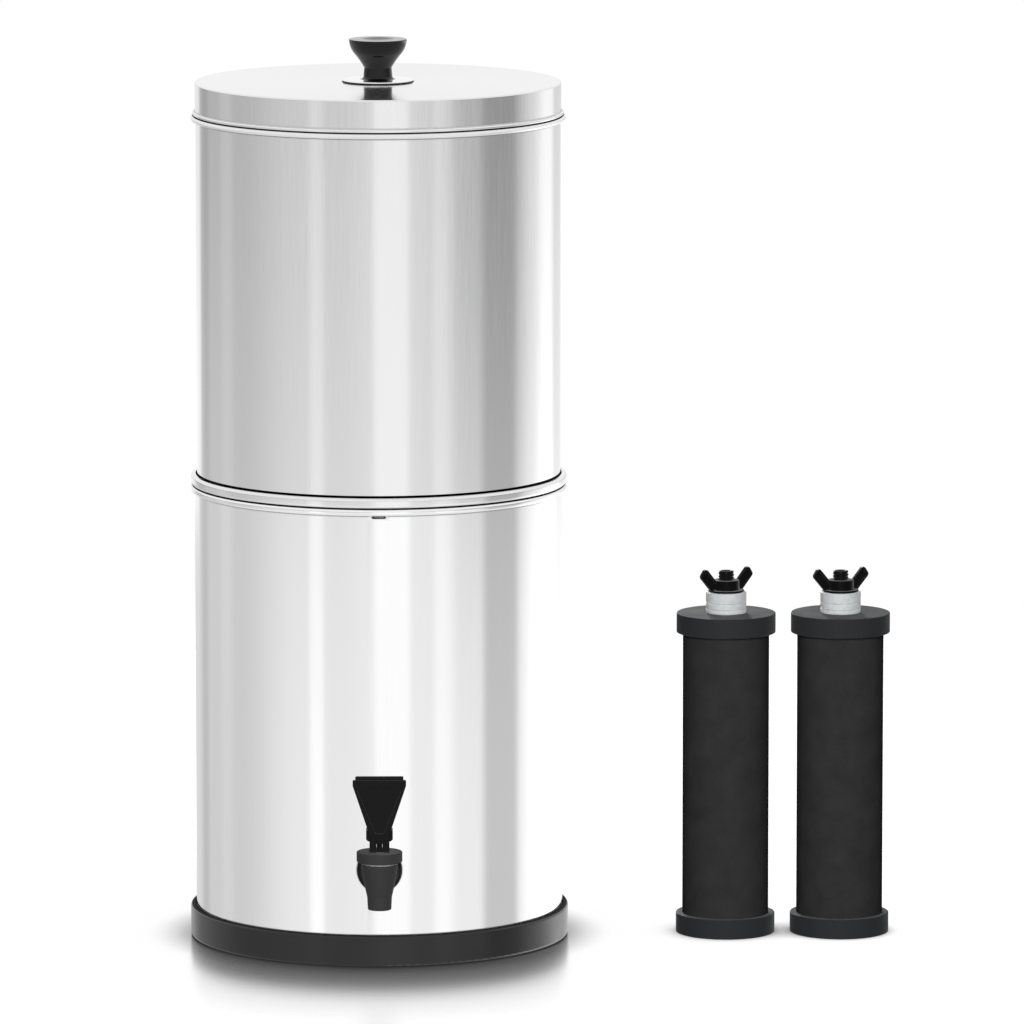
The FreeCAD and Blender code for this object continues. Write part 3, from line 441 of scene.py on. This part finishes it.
# %% Steel of the inside
inner_steel, inner_tree, inner_shader, inner_place = new_material(
    "satin_stainless_inside", "#d2d2d3", 0.42, Metallic=0.5)
inner_rough = add(inner_tree, "ShaderNodeMapRange", in_0=grained(inner_tree, inner_place).outputs[0],
                  in_1=0.3, in_2=0.7, in_3=0.36, in_4=0.50)
inner_tree.links.new(inner_rough.outputs[0], inner_shader.inputs["Roughness"])
dress(inner_steel, "upper_chamber_floor", "lower_chamber_floor")
print("inside:", inner_steel.name)

# %% [markdown]
# The round plate under the knob is polished on a wheel, so it mirrors the knob sharply, with only the finest
# swirls. The screw, its washer, the lever pin and the spring are plain fasteners, tumbled after forming,
# with small scuffs that make their gloss uneven.

# %% Polished plate and fasteners
swirl_size = 1.1 * millimetre
scuff_size = 0.7 * millimetre
plate_steel, plate_tree, plate_shader, plate_place = new_material(
    "polished_stainless_plate", "#f2f2f3", 0.06, Metallic=1.0)
swirl = add(plate_tree, "ShaderNodeTexNoise", in_0=plate_place, Scale=1 / swirl_size, Detail=2.0)
swirl_bump = add(plate_tree, "ShaderNodeBump", Strength=0.05, Distance=polish_depth, Height=swirl.outputs[0])
plate_tree.links.new(swirl_bump.outputs[0], plate_shader.inputs["Normal"])
dress(plate_steel, "knob_plate")

fastener_steel, fastener_tree, fastener_shader, fastener_place = new_material(
    "stainless_fastener", "#c9c9cc", 0.28, Metallic=1.0)
scuff = add(fastener_tree, "ShaderNodeTexNoise", in_0=fastener_place, Scale=1 / scuff_size, Detail=3.0)
scuff_rough = add(fastener_tree, "ShaderNodeMapRange", in_0=scuff.outputs[0], in_3=0.2, in_4=0.4)
fastener_tree.links.new(scuff_rough.outputs[0], fastener_shader.inputs["Roughness"])
dress(fastener_steel, "knob_screw", "knob_screw_washer", "tap_lever_pin")
print("polished and tumbled:", plate_steel.name, fastener_steel.name)

# %% [markdown]
# ## Black plastics and rubber
#
# The tap, the caps and the wing nuts are moulded in black plastic from a finely eroded mould, which leaves a
# dull, pebbled skin. The ring and the gaskets are rubber, duller still. None of them is truly black: they
# are dark greys, and their edges lighten where they mirror the room at a low angle. The pebbles are a
# fraction of a millimetre across, and they are drawn as a noise that bumps the surface and varies its tone.
# The knob is the exception: it is pressed in a polished mould, so it mirrors the room like a dark glass.


# %% Moulded skins
flow_size = 18 * millimetre


def moulded(name, colour, roughness, pebble, relief, unevenness=0.12, **sockets):
    """A moulded skin: pebbles of a size in metres give bump and tone, and a slow noise varies the gloss."""
    material, tree, shader, place = new_material(name, colour, roughness, **sockets)
    pebbles = add(tree, "ShaderNodeTexNoise", in_0=place, Scale=1 / pebble, Detail=3.0, Roughness=0.55)
    bump = add(tree, "ShaderNodeBump", Strength=0.35, Distance=relief, Height=pebbles.outputs[0])
    tree.links.new(bump.outputs[0], shader.inputs["Normal"])
    flow = add(tree, "ShaderNodeTexNoise", in_0=place, Scale=1 / flow_size, Detail=2.0)
    rough = add(tree, "ShaderNodeMapRange", in_0=flow.outputs[0], in_1=0.3, in_2=0.7,
                in_3=roughness * (1 - unevenness), in_4=roughness * (1 + unevenness))
    tree.links.new(rough.outputs[0], shader.inputs["Roughness"])
    tone = add(tree, "ShaderNodeMapRange", in_0=pebbles.outputs[0], in_1=0.3, in_2=0.7, in_3=0.88, in_4=1.12)
    scaled = add(tree, "ShaderNodeVectorMath", {"operation": "SCALE"}, in_0=linear(colour)[:3],
                 Scale=tone.outputs[0])
    tree.links.new(scaled.outputs[0], shader.inputs["Base Color"])
    return material


tap_plastic = moulded("moulded_black_abs", "#3f3f40", 0.55, 0.35 * millimetre, 0.05 * millimetre,
                      Specular_IOR_Level=0.08)
lever_plastic = moulded("moulded_black_lever", "#171718", 0.42, 0.35 * millimetre, 0.05 * millimetre,
                        Specular_IOR_Level=0.05)
cap_plastic = moulded("moulded_black_cap", "#333537", 0.50, 0.30 * millimetre, 0.05 * millimetre,
                      Specular_IOR_Level=0.03)
nut_plastic = moulded("moulded_black_nylon", "#0a0a0c", 0.36, 0.30 * millimetre, 0.04 * millimetre,
                      Specular_IOR_Level=0.05)
knob_plastic = moulded("polished_black_phenolic", "#0e0e0f", 0.06, 0.50 * millimetre, 0.002 * millimetre,
                       Specular_IOR_Level=0.32)
ring_rubber = moulded("black_rubber_ring", "#131314", 0.22, 0.60 * millimetre, 0.01 * millimetre)
gasket_rubber = moulded("black_rubber_gasket", "#0b0b0c", 0.55, 0.40 * millimetre, 0.05 * millimetre,
                        Specular_IOR_Level=0.12)

dress(tap_plastic, "tap_body", "tap_bonnet", "tap_shank_nut")
dress(lever_plastic, "tap_lever", "tap_stem")
dress(knob_plastic, "lid_knob")
dress(ring_rubber, "base_ring")
dress(gasket_rubber, "knob_gasket", "tap_outer_washer", "tap_inner_washer", "tap_seat_cup")
for side in ("left", "right"):
    dress(cap_plastic, f"{side}_base_cap", f"{side}_top_cap")
    dress(nut_plastic, f"{side}_wing_nut", f"{side}_stud")
print("moulded:", tap_plastic.name, lever_plastic.name, cap_plastic.name, nut_plastic.name)
print("polished:", knob_plastic.name, "rubber:", ring_rubber.name, gasket_rubber.name)

# %% [markdown]
# The vessel stands in the ring, so hardly any light reaches the ring's ledge or its very foot on the floor.
# There the rubber is masked black and dull, by its distance from the axis and its height.

# %% Shade in the ring
foot_edge_low, foot_edge_high = 0.4 * millimetre, 1.2 * millimetre
ledge_radius, ledge_low = 123.6 * millimetre, 5.0 * millimetre


def shaded_recess(material, radius, low):
    """Black and dull where no light comes: inside a radius and above a height, and along the very foot."""
    tree = material.node_tree
    shader = tree.nodes["Principled BSDF"]
    place = add(tree, "ShaderNodeTexCoord").outputs["Object"]
    level = add(tree, "ShaderNodeSeparateXYZ", in_0=place).outputs["Z"]
    outside = smooth_step(tree, distance_from_axis(tree, place), radius, radius + 0.3 * millimetre)
    below = smooth_step(tree, level, low + 1 * millimetre, low)
    kept = combine(tree, "MAXIMUM", outside, below)
    kept = combine(tree, "MULTIPLY", kept, smooth_step(tree, level, foot_edge_low, foot_edge_high))
    colour = shader.inputs["Base Color"].links[0].from_socket
    dimmed = add(tree, "ShaderNodeVectorMath", {"operation": "SCALE"}, in_0=colour, Scale=kept)
    tree.links.new(dimmed.outputs[0], shader.inputs["Base Color"])
    rough = shader.inputs["Roughness"].links[0].from_socket
    dull = combine(tree, "MAXIMUM", rough, combine(tree, "SUBTRACT", 1.0, kept))
    tree.links.new(dull, shader.inputs["Roughness"])


shaded_recess(ring_rubber, ledge_radius, ledge_low)
print(ring_rubber.name, "is dark within", ledge_radius, "m of the axis")

# %% [markdown]
# ## Carbon and silicone
#
# A cartridge is a tube of pressed and sintered carbon grains, so its face is rough at the size of the
# grains, a bit under half a millimetre, and a little mottled where the press packed it differently.

# %% Pressed carbon
grain_size, mottle_size = 0.4 * millimetre, 14 * millimetre
grain_relief = 0.08 * millimetre
carbon, carbon_tree, carbon_shader, carbon_place = new_material(
    "pressed_carbon", "#393939", 0.8, Specular_IOR_Level=0.0)
grains = add(carbon_tree, "ShaderNodeTexNoise", in_0=carbon_place, Scale=1 / grain_size, Detail=4.0)
mottle = add(carbon_tree, "ShaderNodeTexNoise", in_0=carbon_place, Scale=1 / mottle_size, Detail=3.0)
both = combine(carbon_tree, "ADD", combine(carbon_tree, "MULTIPLY", grains.outputs[0], 0.5),
               combine(carbon_tree, "MULTIPLY", mottle.outputs[0], 0.5))
carbon_tone = add(carbon_tree, "ShaderNodeMapRange", in_0=both, in_1=0.35, in_2=0.65, in_3=0.82, in_4=1.18)
carbon_colour = add(carbon_tree, "ShaderNodeVectorMath", {"operation": "SCALE"}, in_0=linear("#393939")[:3],
                    Scale=carbon_tone.outputs[0])
carbon_tree.links.new(carbon_colour.outputs[0], carbon_shader.inputs["Base Color"])
carbon_bump = add(carbon_tree, "ShaderNodeBump", Strength=0.5, Distance=grain_relief,
                  Height=grains.outputs[0])
carbon_tree.links.new(carbon_bump.outputs[0], carbon_shader.inputs["Normal"])
print("carbon:", carbon.name)

# %% [markdown]
# The washers on the stud are milky silicone, pressed in a plain mould. Light goes a few millimetres into
# them, which takes the hardness out of their shadows and gives them a faint cool tint.

# %% Milky silicone
cloud_size = 3 * millimetre
light_depth = (2.2 * millimetre, 2.4 * millimetre, 2.6 * millimetre)
silicone, silicone_tree, silicone_shader, silicone_place = new_material(
    "milky_silicone", "#e6ebed", 0.38, Subsurface_Weight=0.6, Subsurface_Scale=1.0, IOR=1.41)
silicone_shader.inputs["Subsurface Radius"].default_value = light_depth
cloud = add(silicone_tree, "ShaderNodeTexNoise", in_0=silicone_place, Scale=1 / cloud_size, Detail=2.0)
cloud_tone = add(silicone_tree, "ShaderNodeMapRange", in_0=cloud.outputs[0], in_1=0.3, in_2=0.7,
                 in_3=0.92, in_4=1.04)
cloud_colour = add(silicone_tree, "ShaderNodeVectorMath", {"operation": "SCALE"}, in_0=linear("#e6ebed")[:3],
                   Scale=cloud_tone.outputs[0])
silicone_tree.links.new(cloud_colour.outputs[0], silicone_shader.inputs["Base Color"])
dress(silicone, "tap_bonnet_gasket", "blocking_plug_front", "blocking_plug_rear")
for side in ("left", "right"):
    dress(carbon, f"{side}_carbon_element")
    dress(silicone, f"{side}_sealing_washers")
print("silicone:", silicone.name)

# %% [markdown]
# ## Surfaces on a grid
#
# The finer pieces are surfaces of two parameters. A grid of points is worked out in one go as an array, with
# one parameter going round and the other along, and the grid's cells become the faces. A grid that closes on
# itself both ways is a ring or a tube with no loose edge.


# %% Mesh from a grid
def grid_piece(name, points, material, close_along, body):
    """A smooth mesh from points[along, round, xyz]. Rounds close, and the two ends close too or get caps."""
    along, around = points.shape[:2]
    rows = np.arange(along if close_along else along - 1)
    columns = np.arange(around)
    row, column = np.meshgrid(rows, columns, indexing="ij")
    next_row, next_column = (row + 1) % along, (column + 1) % around
    corners = [row * around + column, next_row * around + column, next_row * around + next_column,
               row * around + next_column]
    faces = np.stack(corners, axis=-1).reshape(-1, 4).tolist()
    if not close_along:
        faces.append(list(range(around)))
        faces.append(list(range(along * around - 1, (along - 1) * around - 1, -1)))
    mesh = bpy.data.meshes.new(name)
    mesh.from_pydata(points.reshape(-1, 3).tolist(), [], faces)
    mesh.validate()
    mesh.polygons.foreach_set("use_smooth", np.ones(len(mesh.polygons), bool))
    mesh.materials.append(material)
    piece = bpy.data.objects.new(name, mesh)
    scene.collection.objects.link(piece)
    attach(piece, body)
    print(name, len(mesh.polygons), "faces")
    return piece


# %% [markdown]
# ## Rolled and spun sheet
#
# The chambers and the lid are sheet metal, so a piece is one line with a thickness. The line runs through
# corners with bends, a second line lies one sheet thickness to its left, and the closed section is spun
# round the axis. Every degree gets a column of points, far finer than the solid model's, so that the curls
# and beads show unbroken lines of light. Straight stretches get a guard row near each end, which keeps the
# shading of a bend from spreading over a whole wall.


# %% Sections and spinning
sheet = 0.8 * millimetre
curl_bend = 0.9 * millimetre
curl_gap = 0.4 * millimetre
bend_points = 11
guard = 0.4 * millimetre
tightest_bend = 0.05 * millimetre
same = 1e-9


def unit(vector):
    """The vector with a length of 1."""
    return vector / np.linalg.norm(vector)


def through_bends(corners):
    """A line through corners (radius, height, bend), where each bend is a tangent arc of that radius."""
    spots = np.array([corner[:2] for corner in corners])
    stretches = [spots[:1]]
    for before, spot, after, (_, _, bend) in zip(spots[:-2], spots[1:-1], spots[2:], corners[1:-1]):
        back, ahead = unit(before - spot), unit(after - spot)
        half = math.acos(float(back @ ahead)) / 2
        start, end = spot + back * bend / math.tan(half), spot + ahead * bend / math.tan(half)
        centre = spot + unit(back + ahead) * bend / math.sin(half)
        first = math.atan2(*(start - centre)[::-1])
        sweep = (math.atan2(*(end - centre)[::-1]) - first + math.pi) % (2 * math.pi) - math.pi
        angles = first + sweep * np.linspace(0, 1, bend_points)
        arc = centre + bend * np.stack([np.cos(angles), np.sin(angles)], axis=1)
        stretches.append(arc if bend > 0 else spot[None])
    stretches.append(spots[-1:])
    return np.vstack(stretches)


def one_sheet_aside(corners):
    """The corners of the line one sheet thickness to the left, with its bends tighter or wider to suit."""
    spots = np.array([corner[:2] for corner in corners])
    steps = np.diff(spots, axis=0)
    steps /= np.linalg.norm(steps, axis=1, keepdims=True)
    before, after = np.vstack([steps[:1], steps]), np.vstack([steps, steps[-1:]])
    left_before, left_after = before[:, ::-1] * [-1, 1], after[:, ::-1] * [-1, 1]
    share = sheet / (1 + np.sum(left_before * left_after, axis=1, keepdims=True))
    moved = spots + (left_before + left_after) * share
    turns_left = before[:, 0] * after[:, 1] - before[:, 1] * after[:, 0] > 0
    bends = np.array([corner[2] for corner in corners])
    bends = np.where(turns_left, np.maximum(bends - sheet, tightest_bend), bends + sheet)
    return [(radius, level, bend) for (radius, level), bend in zip(moved, bends)]


def guarded(line, levels=()):
    """Adds a guard row at each end of a long stretch, and rows at the given heights on upright ones."""
    rows = [line[:1]]
    for start, end in zip(line[:-1], line[1:]):
        length = np.linalg.norm(end - start)
        low, high = sorted((start[1], end[1]))
        shares = [guard / length, 1 - guard / length] if length > 5 * guard else []
        if abs(end[0] - start[0]) < same and length > 5 * guard:
            shares += [(z - start[1]) / (end[1] - start[1]) for z in levels if low < z < high]
        rows.append(start + (end - start) * np.sort(np.array(shares + [1.0]))[:, None])
    return np.vstack(rows)


def curl(wall_radius, reach, depth, rim):
    """The last corners of a wall, where the sheet rolls outwards and down and ends just short of the wall."""
    out = wall_radius + reach - sheet
    return [(wall_radius, rim - sheet, curl_bend), (out, rim - sheet, curl_bend),
            (out, rim - depth + sheet, curl_bend), (wall_radius + curl_gap, rim - depth + sheet, 0.0)]


columns = 360
front_columns, calm_columns = 4, 14
calm_height = 1.0 * millimetre
hole_turn, hole_points = 80, 9


def spun_sheet(name, node, corners, material, body, holes=()):
    """Spins a sheet section. Each hole in front is (height, half of its straight part, end radius).

    A hole's edge is where the grid's column lies at the angle (half + sqrt(r^2 - (z - height)^2)) / wall
    radius, so columns near the front are pulled in to that angle on the hole's rows, and eased out again
    beside it. A calm row just above and below each hole keeps the pull from turning the light on the rest of
    the wall. The second line's faces within the wall's radius get the finish of the inside.
    """
    turns = np.radians(np.linspace(-hole_turn, hole_turn, hole_points))
    hole_rows = [height + r * np.sin(turns) for height, _, r in holes]
    calm_rows = [height + side * (r + calm_height) for height, _, r in holes for side in (-1, 1)]
    levels = np.concatenate(hole_rows + [calm_rows])
    outer = guarded(through_bends(corners), levels)
    inner = guarded(through_bends(one_sheet_aside(corners)), levels)[::-1]
    line = np.vstack([outer, inner])
    radius, level = line[:, :1], line[:, 1:]
    step = 2 * np.pi / columns
    column = np.arange(columns) - columns // 2
    azimuth = np.tile(column * step, (len(line), 1))
    gaps = np.zeros((len(line), columns), bool)
    rims = []
    for (height, half, r), rows in zip(holes, hole_rows):
        at = np.min(np.abs(level - rows[None, :]), axis=1) < same
        width = (half + np.sqrt(np.maximum(r ** 2 - (level - height) ** 2, 0))) / corners[0][0]
        edge, calm = front_columns * step, calm_columns * step
        spread = np.abs(azimuth)
        eased = width + (spread - edge) * (calm - width) / (calm - edge)
        pulled = np.where(spread <= edge, spread * width / edge, eased)
        azimuth = np.where(at[:, None] & (spread < calm), np.sign(azimuth) * pulled, azimuth)
        found = np.flatnonzero(at)
        outside, inside = np.split(found, 2)
        for run in (outside, inside):
            gaps[run[:-1, None], columns // 2 + np.arange(-front_columns, front_columns)[None, :]] = True
        inside = inside[::-1]
        across = columns // 2 + np.arange(-front_columns, front_columns + 1)
        ring = [(k, across[0]) for k in range(len(outside))]
        ring += [(len(outside) - 1, c) for c in across[1:]]
        ring += [(k, across[-1]) for k in range(len(outside) - 2, -1, -1)]
        ring += [(0, c) for c in across[-2:0:-1]]
        rims.append(([outside[k] * columns + c for k, c in ring], [inside[k] * columns + c for k, c in ring]))
    levels_round = np.broadcast_to(level, azimuth.shape)
    points = np.stack([radius * np.sin(azimuth), -radius * np.cos(azimuth), levels_round], axis=-1)
    row, spot = np.meshgrid(np.arange(len(line)), np.arange(columns), indexing="ij")
    next_row, next_spot = (row + 1) % len(line), (spot + 1) % columns
    corners_of = np.stack([row * columns + spot, row * columns + next_spot, next_row * columns + next_spot,
                           next_row * columns + spot], axis=-1)
    faces = corners_of[~gaps].tolist()
    for outside_rim, inside_rim in rims:
        outside_rim, inside_rim = np.array(outside_rim), np.array(inside_rim)
        cut = np.stack([np.roll(outside_rim, -1), outside_rim, inside_rim, np.roll(inside_rim, -1)], axis=1)
        faces += cut.tolist()
    mesh = bpy.data.meshes.new(name)
    mesh.from_pydata(points.reshape(-1, 3).tolist(), [], faces)
    mesh.polygons.foreach_set("use_smooth", np.arange(len(mesh.polygons)) < np.sum(~gaps))
    within = (row >= len(outer) - 1) & (radius < corners[0][0])
    finish_index = np.zeros(len(mesh.polygons), int)
    finish_index[:np.sum(~gaps)] = within[~gaps]
    mesh.polygons.foreach_set("material_index", finish_index)
    mesh.materials.append(material)
    mesh.materials.append(inner_steel)
    piece = bpy.data.objects.new(name, mesh)
    scene.collection.objects.link(piece)
    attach(piece, body)
    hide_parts(node)
    print(name, len(mesh.polygons), "faces")
    return piece


# %% [markdown]
# The lower chamber stands on the ring's ledge. Its wall ends in a curl, and under the curl, in front, is the
# slot that lets air out while water runs in. The tap's shank passes through a round hole further down.

# %% Lower chamber
wall_low, wall_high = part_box("lower_chamber_wall")
lower_curl_reach, lower_curl_depth = 2.6 * millimetre, 4.4 * millimetre
lower_radius = wall_high.x - lower_curl_reach
lower_rim = wall_high.z
slot_height = lower_rim - 5.45 * millimetre
slot_half, slot_end = 3.75 * millimetre, 0.75 * millimetre
shank_height, shank_hole = 63.5 * millimetre, 8.3 * millimetre
lower_line = [(lower_radius, wall_low.z, 0.0)]
lower_line += curl(lower_radius, lower_curl_reach, lower_curl_depth, lower_rim)
spun_sheet("lower_chamber_sheet", "lower_chamber_wall", lower_line, lower_steel, "lower_unit",
           holes=[(shank_height, 0.0, shank_hole), (slot_height, slot_half, slot_end)])

# %% [markdown]
# The upper chamber nests in the lower one down to its bead, a hollow roll pressed outwards from the wall,
# which rests on the lower curl and carries the weight.

# %% Upper chamber
wall_low, wall_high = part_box("upper_chamber_wall")
bead_depth = 6.8 * millimetre
bead_bend, neck_bend = 2.0 * millimetre, 0.5 * millimetre
upper_curl_reach, upper_curl_depth = 3.4 * millimetre, 3.4 * millimetre
upper_radius = wall_high.x - bead_reach
bead_low = bead_top - bead_depth
upper_line = [
    (upper_radius, wall_low.z, 0.0),
    (upper_radius, bead_low, neck_bend),
    (upper_radius + bead_reach, bead_low, bead_bend),
    (upper_radius + bead_reach, bead_top, bead_bend),
    (upper_radius, bead_top, neck_bend),
] + curl(upper_radius, upper_curl_reach, upper_curl_depth, wall_high.z)
spun_sheet("upper_chamber_sheet", "upper_chamber_wall", upper_line, upper_steel, "upper_chamber")

# %% [markdown]
# The lid is pressed in one piece: a skirt that finds its place inside the rim, a folded bead that rests on
# the rim, an upright side, and a flat top with a hole for the knob's screw.

# %% Lid
lid_low, lid_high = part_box("lid_shell")
lid_bead_reach, lid_bead_depth = 1.6 * millimetre, 2.4 * millimetre
lid_radius = lid_high.x - lid_bead_reach
skirt_depth, skirt_play = 13.0 * millimetre, 0.7 * millimetre
lid_bend = 1.0 * millimetre
screw_hole = 2.6 * millimetre
lid_seat = lid_low.z + skirt_depth
skirt_radius = upper_radius - sheet - skirt_play
lid_line = [
    (skirt_radius, lid_low.z, 0.0),
    (skirt_radius, lid_seat, neck_bend),
    (lid_radius + lid_bead_reach, lid_seat, lid_bend),
    (lid_radius + lid_bead_reach, lid_seat + lid_bead_depth, lid_bend),
    (lid_radius, lid_seat + lid_bead_depth, neck_bend),
    (lid_radius, lid_high.z, lid_bend),
    (screw_hole, lid_high.z, 0.0),
]
spun_sheet("lid_sheet", "lid_shell", lid_line, lid_steel, "lid")

# %% [markdown]
# ## Threaded studs
#
# The stud that stands out above each wing nut has a coarse moulded thread. A thread is a cylinder whose
# radius rises and falls along its length, and the wave slips by one pitch on each trip round. Along the
# profile the grid goes up the thread, over the rounded end and down the bore, and then closes on itself.

# %% Threaded studs
thread_pitch = 2.0 * millimetre
thread_depth = 0.55 * millimetre
thread_crest, stud_bore = 5.2 * millimetre, 3.0 * millimetre
cap_top, stud_foot = 213.0 * millimetre, 4.4 * millimetre
end_bevel = 0.4 * millimetre
end_round = 0.3 * millimetre
round_steps, thread_rows, bore_rows = 72, 160, 12
crest_sharpness = 0.7


def threaded_stud(name, node, body):
    """Radius = crest - depth * (1 - wave) / 2, where wave is the cosine of 2 pi (height / pitch - turns).

    The wave fades out towards the upper end, where the stud is bevelled.
    """
    low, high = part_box(node)
    centre_x, centre_y = (low.x + high.x) / 2, (low.y + high.y) / 2
    turns = np.linspace(0, 1, round_steps + 1)[:-1]
    heights = np.linspace(cap_top - stud_foot, high.z - end_round, thread_rows)
    wave = np.cos(2 * np.pi * (heights[:, None] / thread_pitch - turns[None, :]))
    fade = np.clip((high.z - end_bevel - heights) / thread_pitch, 0, 1)[:, None]
    sharp = np.sign(wave) * np.abs(wave) ** crest_sharpness
    outer = thread_crest - thread_depth * (1 - sharp) / 2 * fade - (1 - fade) * end_bevel
    inner_heights = np.linspace(high.z, heights[0], bore_rows)
    inner = np.full((bore_rows, round_steps), stud_bore)
    radii = np.concatenate([outer, inner])
    levels = np.concatenate([heights, inner_heights])
    across, up = radii * np.cos(2 * np.pi * turns), radii * np.sin(2 * np.pi * turns)
    levels_round = np.broadcast_to(levels[:, None], radii.shape)
    points = np.stack([across + centre_x, up + centre_y, levels_round], axis=-1)
    piece = grid_piece(name, points[::-1], nut_plastic, True, body)
    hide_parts(node)
    return piece


for side in ("left", "right"):
    threaded_stud(f"{side}_threaded_stud", f"{side}_stud", f"{side}_cartridge")

# %% [markdown]
# ## Tap spring
#
# The spring sits between the stem's collar and the bonnet. It is a round wire along a helix, made as a tube:
# a small circle is carried along the helix, and its two ends are closed with caps. It stays with the bonnet.

# %% Tap spring
spring_low, spring_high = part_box("tap_spring")
wire = 0.45 * millimetre
coil_radius = 4.6 * millimetre
spring_turns, spring_rows, wire_corners = 3.5, 200, 12
tap_y = (spring_low.y + spring_high.y) / 2
steps = np.linspace(0, 1, spring_rows)
turned = 2 * np.pi * spring_turns * steps
middle = np.stack([coil_radius * np.cos(turned), tap_y + coil_radius * np.sin(turned),
                   spring_low.z + wire + (spring_high.z - spring_low.z - 2 * wire) * steps], axis=1)
outwards = np.stack([np.cos(turned), np.sin(turned), np.zeros_like(turned)], axis=1)
section = np.linspace(0, 2 * np.pi, wire_corners + 1)[:-1]
tube = (middle[:, None] + wire * (np.cos(section)[None, :, None] * outwards[:, None]
                                  + np.sin(section)[None, :, None] * np.array([0, 0, 1.0])))
spring = grid_piece("coil_spring", tube, fastener_steel, False, "lower_unit")
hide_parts("tap_spring")
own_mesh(spring)

# %% [markdown]
# A catalogue picture keeps the steel calm: it mirrors the studio, and not the small dark pieces near it. So
# the tap and the cartridges are kept out of reflections, and the sheets throw no light back on them. Light
# linking then gives each lamp its own pieces.

# %% Pieces that the steel doesn't mirror
for piece in bpy.data.objects:
    if piece.name.startswith(("tap_", "coil_", "left_", "right_")):
        piece.visible_glossy = False
    if piece.name.endswith("_sheet"):
        piece.visible_diffuse = False

dull_finishes = {finish.name for finish in
                 (tap_plastic, lever_plastic, cap_plastic, nut_plastic, gasket_rubber, carbon, silicone)}
dull_pieces = bpy.data.collections.new("dull_pieces")
other_pieces = bpy.data.collections.new("other_pieces")
for piece in bpy.data.objects:
    if piece.type == "MESH":
        dull = any(finish and finish.name in dull_finishes for finish in piece.data.materials)
        (dull_pieces if dull else other_pieces).objects.link(piece)
front_softbox.light_linking.receiver_collection = dull_pieces
rear_softbox.light_linking.receiver_collection = dull_pieces
overhead_softbox.light_linking.receiver_collection = other_pieces
